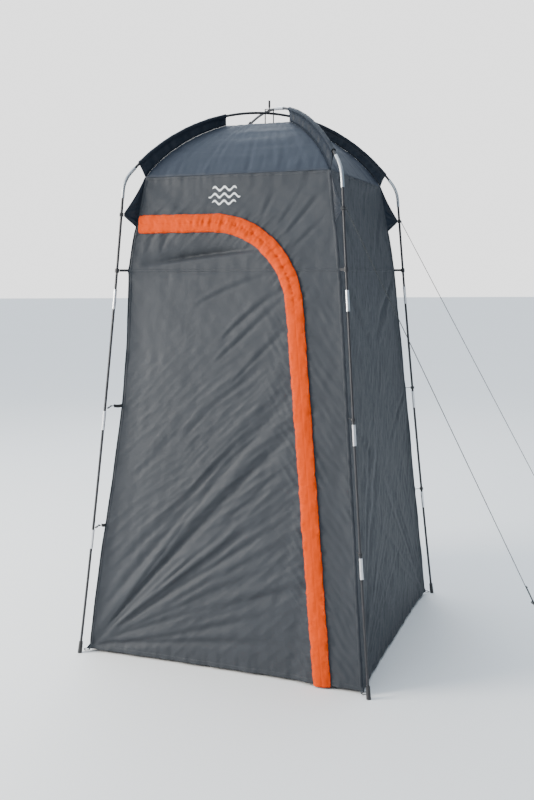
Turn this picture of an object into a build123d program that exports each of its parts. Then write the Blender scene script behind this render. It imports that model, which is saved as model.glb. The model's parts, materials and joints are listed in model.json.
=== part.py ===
"""Privacy shower tent: a square fabric cabin hung inside two crossed, shock-corded poles.

Millimetres, +Z up. The origin is on the ground below the pole crossing, and the door faces -Y.
Upright planes hold the profiles: their local X points outwards and their local Y points up.
Facing planes hold the elevations: their normal points outwards and their local Y points up.
"""

import os
from math import cos, hypot, pi, radians, sin, sqrt

from build123d import *

os.makedirs("parts", exist_ok=True)

# ---- Driving dimensions: poles ----
foot_spread = 1200.0  # between neighbouring pole feet
crown_height = 2168.0  # centre of the lower pole at the crossing
crown_radius = 798.0
crown_sweep = 48.0  # degrees of roof arc on each side of the crossing
elbow_radius = 120.0
leg_tilt = 5.9  # degrees off vertical where a leg leaves its elbow
rod_radius = 5.0
rod_bore = 2.6
rod_gap = 1.0  # between two rod ends inside a ferrule
ferrule_bore = 5.1
ferrule_radius = 6.4
ferrule_length = 76.0
ferrule_heights = [1420.0, 943.0, 466.0]  # on every leg
roof_joints = {"a": [-18.5, 13.7], "b": [-25.5, 7.2]}  # degrees from the crossing
elbow_overlap = 28.0
cord_radius = 1.25
tip_radius = 8.0
tip_height = 46.0

# ---- Driving dimensions: cabin ----
fabric = 0.8
hem_z, hem_half = 12.0, 570.5
seam_z, seam_half = 1530.0, 431.0
eave_z, eave_half = 1890.0, 377.0
roof_mid = (275.0, 2018.0)  # half width and height on the roof's curve
roof_shoulder = (135.0, 2108.0)
peak_z = 2122.0

# ---- Driving dimensions: door and zip, seen from the front ----
zip_top = 1708.0
zip_foot_x, zip_foot_z = 414.5, 22.0
zip_lean = 0.11  # sideways run per unit of height
zip_bend = 350.0
zip_allowance = 8.0  # fabric edge to zip centre
coil_gap, coil_width = 0.4, 2.8
tape_width = 16.0
flap_half = 35.0
flap_stand = 9.0  # clearance under the flap for the sliders
hinge_gap = 3.0
flap_inset = 14.0

# ---- Driving dimensions: trim ----
sleeve_bore, sleeve_radius = 6.6, 7.6
sleeve_angles = (14.0, 44.2)  # degrees from the crossing
trim = 1.2  # doubled fabric and webbing
gusset_tip_z, gusset_foot_z = 1745.0, 1700.0
gusset_hollow = 38.0
hook_heights = [998.0, 518.0]
clip_radius = 8.5
clip_bore = 5.3
clip_height = 16.0
tie_height = 14.0
tab_height = 10.0
hook_droop = 30.0
guy_radius = 1.5
guy_side = 4.5  # strand centre to peg centre
peg_radius = 2.5
peg_top = 45.0
tie_z = 24.0  # guyline height on the peg
peg_hook = (18.0, 14.0)  # reach and drop of the peg's hooked top
runner_from_peg = 220.0
runner_size = (40.0, 11.0, 3.8)
runner_hole = 14.0  # third hole, from the middle
tail_length = 300.0

# ---- Derived dimensions ----
foot_reach = foot_spread / 2 * sqrt(2)
lower_lean = (hem_half - seam_half) / (seam_z - hem_z)
upper_lean = (seam_half - eave_half) / (eave_z - seam_z)
second_pole_rise = 2 * rod_radius + 0.4

sides = {"front": -90, "right": 0, "back": 90, "left": 180}
corners = {"front_left": 225, "front_right": 315, "back_right": 45, "back_left": 135}
crowns = {
    "front_left": crown_height,
    "back_right": crown_height,
    "front_right": crown_height + second_pole_rise,
    "back_left": crown_height + second_pole_rise,
}
guy_pegs = {"front": ("front_right", (1200, 50)), "back": ("back_right", (1250, 1250))}


# ---- Planes and sizes ----
def upright(angle, along=0.0):
    """Profile plane through the Z axis, moved sideways by along."""
    turn = radians(angle)
    normal = Vector(sin(turn), -cos(turn), 0)
    return Plane(origin=normal * along, x_dir=(cos(turn), sin(turn), 0), z_dir=normal)


def facing(angle):
    """Elevation plane through the Z axis, looking at one side of the cabin."""
    turn = radians(angle)
    return Plane(origin=(0, 0, 0), x_dir=(-sin(turn), cos(turn), 0), z_dir=(cos(turn), sin(turn), 0))


def half_width(z):
    """Half width of the cabin wall's outer face at a height."""
    if z < seam_z:
        return seam_half + (seam_z - z) * lower_lean
    return seam_half - (z - seam_z) * upper_lean


def corner_reach(z):
    """Distance of the cabin's corner seam from the Z axis at a height."""
    return half_width(z) * sqrt(2)


# ---- Shared makers ----
def save(piece, name):
    piece.label = name
    export_step(piece, f"parts/{name}.step")


def group(pieces):
    """Separate solids in one node."""
    with BuildPart() as node:
        add(pieces)
    return node.part


def tube_along(lines, radius, bore=0.0):
    """Round rod, or tube if it has a bore, along connected lines."""
    with BuildPart() as tube:
        with BuildLine() as path:
            add(lines)
        with BuildSketch(Plane(origin=path.line @ 0, z_dir=path.line % 0)):
            Circle(radius)
            if bore:
                Circle(bore, mode=Mode.SUBTRACT)
        sweep()
    return tube.part


def ring_at(place, radius, bore, height):
    """Collar around a leg, centred on place."""
    with BuildPart() as ring:
        with BuildSketch(Plane(origin=place @ 0.5, z_dir=place % 0.5)):
            Circle(radius)
            Circle(bore, mode=Mode.SUBTRACT)
        extrude(amount=height / 2, both=True)
    return ring.part


def plate(plane, points, thickness):
    """Flat plate with straight edges, centred on its plane."""
    with BuildPart() as flat:
        with BuildSketch(plane):
            with BuildLine():
                Polyline(*points, close=True)
            make_face()
        extrude(amount=thickness / 2, both=True)
    return flat.part


# ---- Poles ----
def pole_run(corner):
    """Centre lines of one corner's half pole, in order: roof arc, elbow, leg."""
    crown = crowns[corner]
    with BuildLine(upright(corners[corner])):
        roof = CenterArc((0, crown - crown_radius), crown_radius, 90, -crown_sweep)
        elbow = JernArc(roof @ 1, roof % 1, elbow_radius, crown_sweep + leg_tilt - 90)
        leg = TangentArc(elbow @ 1, (foot_reach, 0), tangent=elbow % 1)
    return roof, elbow, leg


def share_at(leg, height):
    """How far along a leg a height lies, from 0 at the elbow to 1 on the ground."""
    return ((leg @ 0).Z - height) / ((leg @ 0).Z - (leg @ 1).Z)


def leg_stretch(leg, height, length):
    """Short stretch of a leg, centred at a height."""
    middle, reach = share_at(leg, height), length / 2 / leg.length
    return leg.trim(middle - reach, middle + reach)


def leg_rods(leg):
    """The four rods between the elbow, the three ferrules and the foot tip."""
    gap = rod_gap / 2 / leg.length
    joints = [-gap] + [share_at(leg, z) for z in ferrule_heights] + [share_at(leg, tip_height / 6)]
    rods = [leg.trim(a + gap, b - gap) for a, b in zip(joints, joints[1:])]
    return group([tube_along(rod, rod_radius, rod_bore) for rod in rods])


def foot_tip(leg):
    """Closed cap on the foot of a leg, flat where it meets the ground."""
    plane = Plane(origin=leg @ share_at(leg, tip_height), z_dir=leg % 1)
    with BuildPart() as tip:
        with BuildSketch(plane):
            Circle(tip_radius)
        extrude(amount=tip_height + tip_radius, taper=-1)
        with BuildSketch(plane):
            Circle(ferrule_bore)
        extrude(amount=tip_height - tip_height / 8, mode=Mode.SUBTRACT)
        split(bisect_by=Plane.XY, keep=Keep.TOP)
    return tip.part


def roof_stretch(pole, start, end):
    """Part of a pole's whole roof arc, between two angles from the crossing."""
    first = {"a": "front_left", "b": "back_left"}[pole]
    crown = crowns[first]
    with BuildLine(upright(corners[first] + 180)):
        arc = CenterArc((0, crown - crown_radius), crown_radius, 90 - start, start - end)
    return arc


def degrees_along_roof(length):
    return length / crown_radius * 180 / pi


def roof_rods(pole):
    """Three roof rods of one pole, from elbow to elbow."""
    gap = degrees_along_roof(rod_gap / 2)
    ends = [-crown_sweep] + roof_joints[pole] + [crown_sweep]
    rods = [roof_stretch(pole, a + gap, b - gap) for a, b in zip(ends, ends[1:])]
    return group([tube_along(rod, rod_radius, rod_bore) for rod in rods])


def shock_cord(pole, start, end):
    """Elastic cord through the whole pole, from foot tip to foot tip."""
    start_run, end_run = runs[start], runs[end]
    whole = roof_stretch(pole, -crown_sweep, crown_sweep)
    low = share_at(start_run[2], tip_height / 2)
    lines = [start_run[2].trim(0, low), start_run[1], whole, end_run[1], end_run[2].trim(0, low)]
    return tube_along(lines, cord_radius)


runs = {corner: pole_run(corner) for corner in corners}
legs = {corner: run[2] for corner, run in runs.items()}

for corner, leg in legs.items():
    save(leg_rods(leg), f"leg_{corner}")
for pole in roof_joints:
    save(roof_rods(pole), f"roof_pole_{pole}")

leg_ferrules = [
    tube_along(leg_stretch(leg, height, ferrule_length), ferrule_radius, ferrule_bore)
    for leg in legs.values()
    for height in ferrule_heights
]
save(group(leg_ferrules), "leg_ferrules")

half_ferrule = degrees_along_roof(ferrule_length / 2)
roof_ferrules = [
    tube_along(roof_stretch(pole, at - half_ferrule, at + half_ferrule), ferrule_radius, ferrule_bore)
    for pole, joints in roof_joints.items()
    for at in joints
]
save(group(roof_ferrules), "roof_ferrules")


def elbow_tube(run):
    """Pre-bent metal tube that joins the roof rods to a leg."""
    roof, elbow, leg = run
    start = 1 - elbow_overlap / roof.length
    lines = [roof.trim(start, 1), elbow, leg.trim(0, elbow_overlap / leg.length)]
    return tube_along(lines, ferrule_radius, ferrule_bore)


save(group([elbow_tube(run) for run in runs.values()]), "elbow_tubes")
save(group([foot_tip(leg) for leg in legs.values()]), "foot_tips")
save(shock_cord("a", "front_left", "back_right"), "shock_cord_a")
save(shock_cord("b", "back_left", "front_right"), "shock_cord_b")


# ---- Cabin walls ----
def wall_slab(angle, low, high, inner, outer):
    """Full-width slab that follows a wall's slope, between two distances out of its outer face."""
    levels = [low] + [z for z in (seam_z,) if low < z < high] + [high]
    outside = [(half_width(z) + outer, z) for z in levels]
    inside = [(half_width(z) + inner, z) for z in reversed(levels)]
    with BuildPart() as slab:
        with BuildSketch(upright(angle)):
            with BuildLine():
                Polyline(*outside, *inside, close=True)
            make_face()
        extrude(amount=hem_half + flap_half, both=True)
    return slab.part


def cut_from_wall(slab, angle, outline):
    """Keep the part of a slab inside an outline drawn in elevation."""
    with BuildPart() as piece:
        add(slab)
        with BuildSketch(facing(angle)):
            add(outline)
        extrude(amount=2 * hem_half, mode=Mode.INTERSECT)
    return piece.part


def wall_outline(inset):
    """Whole elevation of a wall, with its side edges drawn in by inset."""
    levels = (hem_z, seam_z, eave_z)
    right = [(half_width(z) - inset, z) for z in levels]
    left = [(-x, z) for x, z in reversed(right)]
    with BuildSketch() as outline:
        with BuildLine():
            Polyline(*right, *left, close=True)
        make_face()
    return outline.sketch


for side in ("right", "back", "left"):
    inset = fabric if side == "back" else 0.0
    for level, low, high in (("lower", hem_z, seam_z), ("upper", seam_z, eave_z)):
        slab = wall_slab(sides[side], low, high, -fabric, 0)
        panel = cut_from_wall(slab, sides[side], wall_outline(inset))
        save(panel, f"{level}_wall_{side}")


# ---- Front wall, door, zip and flap ----
def zip_side_x(z, shift):
    """Sideways place of the leaning zip run at a height, moved towards the door by shift."""
    return zip_foot_x - zip_lean * (z - zip_foot_z) - shift * hypot(1, zip_lean)


def zip_curve(shift, left, low):
    """Zip line from the left edge over the bend down to low, moved towards the door by shift."""
    top = zip_top - shift
    points = [(left, top), (zip_side_x(top, shift), top), (zip_side_x(low, shift), low)]
    return FilletPolyline(*points, radius=zip_bend - shift)


def zip_band(door_side, fixed_side, left, low):
    """Strip along the zip, between two shifts."""
    with BuildSketch() as band:
        with BuildLine():
            inner = zip_curve(door_side, left, low)
            outer = zip_curve(fixed_side, left, low)
            Line(inner @ 0, outer @ 0)
            Line(inner @ 1, outer @ 1)
        make_face()
    return band.sketch


def door_outline():
    """Door fabric: left of the zip and below it."""
    inset = fabric + hinge_gap
    top = zip_top - zip_allowance
    left = [(inset - half_width(z), z) for z in (hem_z, seam_z, top)]
    with BuildSketch() as outline:
        with BuildLine():
            edge = zip_curve(zip_allowance, left[-1][0], hem_z)
            Polyline(edge @ 1, *left)
        make_face()
    return outline.sketch


def front_outline():
    """Fixed front fabric: above the zip and right of it."""
    top = zip_top + zip_allowance
    left = [(fabric - half_width(z), z) for z in (top, eave_z)]
    right = [(half_width(z) - fabric, z) for z in (eave_z, seam_z, hem_z)]
    with BuildSketch() as outline:
        with BuildLine():
            edge = zip_curve(-zip_allowance, left[0][0], hem_z)
            Polyline(edge @ 0, left[1], *right, edge @ 1)
        make_face()
    return outline.sketch


front = sides["front"]
lower_slab = wall_slab(front, hem_z, seam_z, -fabric, 0)
upper_slab = wall_slab(front, seam_z, eave_z, -fabric, 0)
save(cut_from_wall(upper_slab, front, front_outline()), "front_wall_upper")
save(cut_from_wall(lower_slab, front, front_outline()), "front_wall_side")
save(cut_from_wall(upper_slab, front, door_outline()), "door_upper")
save(cut_from_wall(lower_slab, front, door_outline()), "door_lower")

zip_low = hem_z + 6
tape_slab = wall_slab(front, zip_low, eave_z, 0, 0.6)
coil_slab = wall_slab(front, zip_low, eave_z, -1.0, 1.6)
zip_left = fabric + hinge_gap - half_width(zip_top)


def zip_half(side):
    """Tape and coil of one zip half: side is 1 on the door and -1 on the fixed wall."""
    coil_edge = side * (coil_gap + coil_width)
    coil = zip_band(side * coil_gap, coil_edge, zip_left, zip_low)
    tape = zip_band(coil_edge, side * tape_width, zip_left, zip_low)
    return group([cut_from_wall(coil_slab, front, coil), cut_from_wall(tape_slab, front, tape)])


save(zip_half(1), "zip_half_door")
save(zip_half(-1), "zip_half_frame")

flap_left = fabric + flap_inset - half_width(zip_top)
cover_slab = wall_slab(front, hem_z, eave_z, flap_stand, flap_stand + fabric)
web_slab = wall_slab(front, hem_z, eave_z, 0, flap_stand)
cover = cut_from_wall(cover_slab, front, zip_band(flap_half, -flap_half, flap_left, hem_z))
web = cut_from_wall(web_slab, front, zip_band(flap_half, flap_half - fabric, flap_left, hem_z))
save(group([cover, web]), "zip_flap")


# ---- Zip sliders and pullers ----
slider_length, slider_width, slider_lift, slider_thick = 16.0, 9.5, 2.2, 1.2
lip_low, lip_width = 0.9, 0.8
puller_length, puller_width, puller_thick, puller_lift = 28.0, 6.0, 1.6, 4.2
stud_radius, stud_head, stud_length = 1.6, 3.0, 3.0


def slider(plane):
    """Slider plate with two lips over the coils and a stud for its puller."""
    with BuildPart() as body:
        with BuildSketch(plane.offset(slider_lift)):
            RectangleRounded(slider_width, slider_length, slider_width / 5)
        extrude(amount=slider_thick)
        with BuildSketch(plane.offset(lip_low)):
            lip_x = (slider_width - lip_width) / 2
            with Locations((lip_x, 0), (-lip_x, 0)):
                Rectangle(lip_width, 0.7 * slider_length)
        extrude(amount=slider_lift - lip_low)
        with BuildSketch(plane.offset(slider_lift + slider_thick)):
            Circle(stud_radius)
        extrude(amount=stud_length)
        with BuildSketch(plane.offset(slider_lift + slider_thick + stud_length)):
            Circle(stud_head)
        extrude(amount=slider_thick)
    return body.part


def puller(plane):
    """Pull tab that hangs from the stud."""
    with BuildPart() as tab:
        with BuildSketch(plane.offset(puller_lift)):
            Circle(0.7 * puller_width)
            with Locations((0, -puller_length / 2)):
                RectangleRounded(puller_width, puller_length, puller_width / 3)
            Circle(stud_radius + 0.4, mode=Mode.SUBTRACT)
            with Locations((0, 0.85 * puller_width - puller_length)):
                Circle(puller_width / 4, mode=Mode.SUBTRACT)
        extrude(amount=puller_thick)
    return tab.part


def zip_plane(x, z, run, lean):
    """Plane on the front wall with its local Y along run."""
    normal = Vector(0, -1, lean).normalized()
    across = Vector(*run).cross(normal)
    return Plane(origin=(x, -half_width(z), z), x_dir=across, z_dir=normal)


lower_z, upper_x = 72.0, -352.0
lower_place = (zip_side_x(lower_z, 0), lower_z)
upper_place = (upper_x, zip_top)
save(slider(zip_plane(*lower_place, (-zip_lean, lower_lean, 1), lower_lean)), "zip_slider_lower")
save(slider(zip_plane(*upper_place, (1, 0, 0), upper_lean)), "zip_slider_upper")
save(puller(zip_plane(*lower_place, (0, lower_lean, 1), lower_lean)), "zip_puller_lower")
save(puller(zip_plane(*upper_place, (0, upper_lean, 1), upper_lean)), "zip_puller_upper")


# ---- Roof ----
def roof_panel(angle):
    """One of four curved roof panels, mitred along the hips."""
    below = -fabric
    with BuildPart() as panel:
        with BuildSketch(upright(angle)):
            with BuildLine():
                outside = ThreePointArc((eave_half, eave_z), roof_mid, roof_shoulder)
                top = Line(outside @ 1, (0, peak_z))
                down = Line(top @ 1, (0, peak_z + below))
                under = Line(down @ 1, (roof_shoulder[0] + below, roof_shoulder[1] + below))
                inside = ThreePointArc(
                    under @ 1,
                    (roof_mid[0] + below, roof_mid[1] + below),
                    (eave_half + below, eave_z),
                )
                Line(inside @ 1, outside @ 0)
            make_face()
        extrude(amount=eave_half, both=True)
        with BuildSketch(Plane.XY):
            with BuildLine():
                reach = 2 * eave_half
                start, end = radians(angle - 45), radians(angle + 45)
                Polyline(
                    (0, 0),
                    (reach * cos(start), reach * sin(start)),
                    (reach * cos(end), reach * sin(end)),
                    close=True,
                )
            make_face()
        extrude(amount=crown_height, mode=Mode.INTERSECT)
    return panel.part


for side, angle in sides.items():
    save(roof_panel(angle), f"roof_{side}")


# ---- Pole sleeves, gussets and pole ties ----
def sleeve(corner):
    """Pole tunnel with the fin that sews it to the hip seam."""
    crown = crowns[corner]
    centre = (0, crown - crown_radius)
    start, end = sleeve_angles
    plane = upright(corners[corner])
    with BuildLine(plane):
        pole = CenterArc(centre, crown_radius, 90 - start, start - end)
        bore = CenterArc(centre, crown_radius, 92 - start, start - end - 4)
    first, last = plane.to_local_coords(pole @ 0), plane.to_local_coords(pole @ 1)
    middle = plane.to_local_coords(pole @ 0.5)
    hip = [(s * sqrt(2), z + 2 * trim) for s, z in (roof_shoulder, roof_mid, (eave_half, eave_z))]
    with BuildPart() as fin:
        with BuildSketch(plane):
            with BuildLine():
                over = ThreePointArc((first.X, first.Y), (middle.X, middle.Y), (last.X, last.Y))
                Line((last.X, last.Y), hip[2])
                ThreePointArc(hip[2], hip[1], hip[0])
                Line(hip[0], (first.X, first.Y))
            make_face()
        extrude(amount=trim / 2, both=True)
        add(tube_along(pole, sleeve_radius))
        add(tube_along(bore, sleeve_bore), mode=Mode.SUBTRACT)
    return fin.part


def gusset(corner):
    """Triangular wing from the corner seam to the leg."""
    leg = legs[corner]
    tip = leg @ share_at(leg, gusset_tip_z)
    tip_reach = hypot(tip.X, tip.Y) - sleeve_bore - 2 * trim
    eave = (corner_reach(eave_z) + 2 * trim, eave_z - trim)
    foot = (corner_reach(gusset_foot_z) + 2 * trim, gusset_foot_z)
    with BuildPart() as wing:
        with BuildSketch(upright(corners[corner])):
            with BuildLine():
                hollow = (eave[0] + gusset_hollow, (eave_z + gusset_tip_z) / 2)
                free = ThreePointArc(eave, hollow, (tip_reach, gusset_tip_z + tie_height / 2))
                Polyline(free @ 1, (tip_reach, gusset_tip_z - tie_height / 2), foot, eave)
            make_face()
        extrude(amount=trim / 2, both=True)
    return wing.part


def leg_reach(corner, z):
    """Distance of a leg's centre line from the Z axis at a height."""
    place = legs[corner] @ share_at(legs[corner], z)
    return hypot(place.X, place.Y)


def strap(corner, z, height, start, end):
    """Horizontal webbing strap in a corner's profile plane."""
    points = [(start, z), (end, z), (end, z + height), (start, z + height)]
    return plate(upright(corners[corner]), points, trim)


for corner in corners:
    save(sleeve(corner), f"sleeve_{corner}")
    save(gusset(corner), f"gusset_{corner}")

tie_radius = sleeve_bore + trim
tie_places = [leg_stretch(leg, gusset_tip_z, trim) for leg in legs.values()]
ties = [ring_at(place, tie_radius, clip_bore, tie_height) for place in tie_places]
save(group(ties), "gusset_ties")

clip_places = [leg_stretch(leg, seam_z, trim) for leg in legs.values()]
clips = [ring_at(place, clip_radius, clip_bore, clip_height) for place in clip_places]
tabs = [
    strap(
        corner,
        seam_z - tab_height / 2,
        tab_height,
        corner_reach(seam_z) + trim,
        leg_reach(corner, seam_z) - clip_radius - trim,
    )
    for corner in corners
]
save(group(clips), "seam_clips")
save(group(tabs), "seam_tabs")


# ---- Lower corner hooks ----
def clipped_hook(corner, z):
    """Hook on its webbing, snapped round the leg."""
    ring = ring_at(leg_stretch(legs[corner], z, trim), clip_radius, clip_bore, tab_height)
    start, end = corner_reach(z) + 2 * trim, leg_reach(corner, z) - clip_bore - trim
    return group([ring, strap(corner, z - trim, 2 * trim, start, end)])


clipped = [clipped_hook(c, z) for c in corners if c != "front_left" for z in hook_heights]
save(group(clipped), "corner_hooks")

pin_radius, pin_half = 1.3, 6.0
hook_pin = 14.0  # pin centre out of the corner seam
fork_depth = 4.0  # cross strap to pin centre
hook_reach = 12.0  # pin to clip centre
hook_thick, hook_neck, hook_mouth = 3.2, 7.0, 5.0
pin_wall, pin_slack = 1.5, 0.3


def hook_loop(z):
    """Webbing neck and fork on the free corner, with one loose hook's pin."""
    angle = corners["front_left"]
    centre = corner_reach(z) + hook_pin
    neck = hook_pin - fork_depth - trim
    with BuildPart() as fork:
        with BuildSketch(upright(angle, -pin_half)):
            with Locations((centre, z)):
                Circle(pin_radius)
        extrude(amount=2 * pin_half)
        for start in (-pin_half - trim, pin_half):
            with BuildSketch(upright(angle, start)):
                with Locations((centre, z)):
                    Circle(pin_radius + trim)
                with Locations((centre - fork_depth / 2, z)):
                    Rectangle(fork_depth, 2 * pin_radius)
            extrude(amount=trim)
        with BuildSketch(upright(angle, -pin_half)):
            with Locations((centre - fork_depth, z)):
                Rectangle(trim, 2 * pin_radius)
        extrude(amount=2 * pin_half)
        with BuildSketch(upright(angle)):
            with Locations((centre - fork_depth - neck / 2, z)):
                Rectangle(neck, 2 * pin_radius)
        extrude(amount=trim / 2, both=True)
    return fork.part


def loose_hook(z):
    """Open plastic hook that droops from its loop."""
    droop = radians(-hook_droop)
    flat = upright(corners["front_left"])
    pin = flat.from_local_coords((corner_reach(z) + hook_pin, z))
    outwards = flat.x_dir * cos(droop) + flat.y_dir * sin(droop)
    side_plane = Plane(origin=pin, x_dir=outwards, z_dir=flat.z_dir)
    top_plane = Plane(origin=pin, x_dir=outwards, z_dir=outwards.cross(flat.z_dir) * -1)
    with BuildPart() as hook:
        with BuildSketch(top_plane.offset(-hook_thick / 2)):
            with Locations((hook_reach, 0)):
                Circle(clip_radius - 1)
            with Locations((hook_reach / 2, 0)):
                Rectangle(0.75 * hook_reach, hook_neck)
            with Locations((hook_reach, 0)):
                Circle(clip_bore, mode=Mode.SUBTRACT)
            with Locations((hook_reach + clip_bore, 0)):
                Rectangle(hook_mouth, hook_neck, mode=Mode.SUBTRACT)
        extrude(amount=hook_thick)
        with BuildSketch(side_plane):
            Circle(pin_radius + pin_wall)
        extrude(amount=pin_half - pin_wall, both=True)
        with BuildSketch(side_plane):
            Circle(pin_radius + pin_slack)
        extrude(amount=pin_half, both=True, mode=Mode.SUBTRACT)
    return hook.part


save(group([hook_loop(z) for z in hook_heights]), "hook_loops")
for name, z in zip(("hook_upper", "hook_lower"), hook_heights):
    save(loose_hook(z), name)


# ---- Crossing tie, shower loop and shower hook ----
tie_half, tie_bar, tie_depth = 19.0, 2.0, 8.0
toggle_radius, toggle_length, toggle_neck, toggle_gap = 4.5, 28.0, 2.5, 5.0
tie_low = peak_z + 1
tie_high = crown_height + second_pole_rise + rod_radius + 0.6

with BuildPart() as apex_tie:
    with BuildSketch(upright(0)):
        with BuildLine():
            Polyline(
                (-tie_half, tie_low),
                (tie_half, tie_low),
                (tie_half, tie_high + tie_bar),
                (-tie_half, tie_high + tie_bar),
                close=True,
            )
        make_face()
        with Locations((0, (tie_low + tie_bar + tie_high) / 2)):
            Rectangle(2 * (tie_half - tie_bar), tie_high - tie_low - tie_bar, mode=Mode.SUBTRACT)
    extrude(amount=tie_depth / 2, both=True)
save(apex_tie.part, "apex_tie")

with BuildPart() as apex_toggle:
    with BuildSketch(Plane.XY.offset(tie_high + tie_bar)):
        Circle(toggle_neck)
    extrude(amount=toggle_gap)
    with BuildSketch(Plane.XY.offset(tie_high + tie_bar + toggle_gap)):
        Circle(toggle_radius)
    extrude(amount=toggle_length)
    fillet(apex_toggle.edges().filter_by(GeomType.CIRCLE).group_by(Axis.Z)[-1], toggle_radius / 3)
save(apex_toggle.part, "apex_toggle")

loop_half, loop_drop, loop_width, loop_bar = 14.0, 34.0, 20.0, 3.0
loop_low = peak_z - fabric - loop_drop
loop_high = peak_z - 3 * trim

with BuildPart() as shower_loop:
    with BuildSketch(upright(0)):
        with Locations((0, (loop_low + loop_high) / 2)):
            Rectangle(2 * loop_half, loop_high - loop_low)
        with Locations((0, loop_low + loop_drop / 2)):
            Rectangle(2 * (loop_half - trim), loop_drop - 2 * loop_bar, mode=Mode.SUBTRACT)
    extrude(amount=loop_width / 2, both=True)
save(shower_loop.part, "shower_loop")

hook_wire = 2.0
eye_radius = 12.5
bag_radius = 13.0
bag_sweep = 250.0
eye_z = loop_low + loop_bar / 2
eye_plane = Plane(origin=(0, 0, eye_z), x_dir=(0, 1, 0), z_dir=(1, 0, 0))

with BuildLine(eye_plane) as bag_line:
    CenterArc((0, -eye_radius - bag_radius), bag_radius, 90, -bag_sweep)

with BuildPart() as shower_hook:
    with Locations(eye_plane):
        Torus(eye_radius, hook_wire)
    add(tube_along(bag_line.line.edges(), hook_wire))
save(shower_hook.part, "shower_hook")


# ---- Peg loops on the bottom corners ----
peg_loop_size = (22.0, 24.0)
peg_loop_bar = 4.0
peg_loop_drop = 3.0  # below the hem


def peg_loop(corner):
    """Flat webbing loop for a peg, hung on a small tab below the cabin's bottom corner."""
    turn = radians(corners[corner])
    length, width = peg_loop_size
    start = corner_reach(hem_z) + trim
    centre = start + length / 2
    low = hem_z - peg_loop_drop
    plane = Plane(
        origin=(centre * cos(turn), centre * sin(turn), low),
        x_dir=(cos(turn), sin(turn), 0),
        z_dir=(0, 0, 1),
    )
    tab = [(start, low), (start + peg_loop_bar, low), (start, low + 3 * peg_loop_bar)]
    with BuildPart() as loop:
        with BuildSketch(plane):
            RectangleRounded(length, width, 0.75 * peg_loop_bar)
            RectangleRounded(
                length - 2 * peg_loop_bar,
                width - 2 * peg_loop_bar,
                peg_loop_bar / 2,
                mode=Mode.SUBTRACT,
            )
        extrude(amount=trim)
        add(plate(upright(corners[corner]), tab, trim))
    return loop.part


save(group([peg_loop(corner) for corner in corners]), "peg_loops")


# ---- Guylines ----
def guy_lines(corner, peg):
    """Key directions and places of one guyline: down the line, sideways, its top and its peg."""
    top = legs[corner] @ share_at(legs[corner], gusset_tip_z)
    peg_place = Vector(peg[0], peg[1], tie_z)
    flat = Vector(peg[0] - top.X, peg[1] - top.Y, 0).normalized()
    start = top + flat * (sleeve_bore + trim + 2 * guy_radius)
    side = Vector(-flat.Y, flat.X, 0)
    down = (peg_place - start).normalized()
    return start + side * guy_side, peg_place, down, side, flat


def guyline(corner, peg):
    """Taut line from the leg tie, round the peg and back up through the runner."""
    start, peg_place, down, side, _ = guy_lines(corner, peg)
    turn = down * (2 * guy_side)
    tail = peg_place - side * guy_side - down * tail_length
    points = [start, peg_place + side * guy_side + turn, peg_place - side * guy_side + turn, tail]
    radii = [0.98 * guy_side, 0.98 * guy_side]
    with BuildLine() as path:
        FilletPolyline(*points, radius=radii)
    tube = tube_along(path.line.edges(), guy_radius)
    length = sum(edge.length for edge in path.line.edges())
    share = tube.volume / (pi * guy_radius**2 * length)
    print(f"guyline {corner}: {length:.0f} mm, radii {radii}, volume is {share:.4f} of its section x length")
    return tube


def runner(corner, peg):
    """Three-hole plastic line runner, square to the line."""
    _, peg_place, down, side, _ = guy_lines(corner, peg)
    plane = Plane(origin=peg_place - down * runner_from_peg, x_dir=side, z_dir=down)
    length, width, thickness = runner_size
    with BuildPart() as bar:
        with BuildSketch(plane):
            SlotOverall(length, width)
            with Locations((-guy_side, 0), (guy_side, 0), (runner_hole, 0)):
                Circle(guy_radius + 0.3, mode=Mode.SUBTRACT)
        extrude(amount=thickness / 2, both=True)
    return bar.part


def ground_peg(corner, peg):
    """Head of a round wire peg: the stem above the ground and its hook."""
    _, peg_place, _, _, flat = guy_lines(corner, peg)
    foot = Vector(peg_place.X, peg_place.Y, 1)
    top = Vector(peg_place.X, peg_place.Y, peg_top)
    over = top + flat * peg_hook[0]
    points = [foot, top, over, over - Vector(0, 0, peg_hook[1])]
    with BuildLine() as path:
        FilletPolyline(*points, radius=[3 * peg_radius, 2 * peg_radius])
    return tube_along(path.line.edges(), peg_radius)


for name, (corner, peg) in guy_pegs.items():
    save(guyline(corner, peg), f"guyline_{name}")
    save(runner(corner, peg), f"guy_runner_{name}")
save(group([ground_peg(corner, peg) for corner, peg in guy_pegs.values()]), "guy_pegs")
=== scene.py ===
"""Privacy shower tent: the visual model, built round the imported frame. Metres, in the frame's own axes.

Elevations are given as (u, z): u runs to the right along a wall, seen from outside, and z is the height.
The whole cabin is simulated once as a single cloth, and each sewn piece then takes its place from that cloth.
"""

import json
from math import asin, atan2, cos, hypot, pi, radians, sin, sqrt

import bmesh
import bpy
import numpy as np
from mathutils import Matrix, Vector, noise


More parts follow.
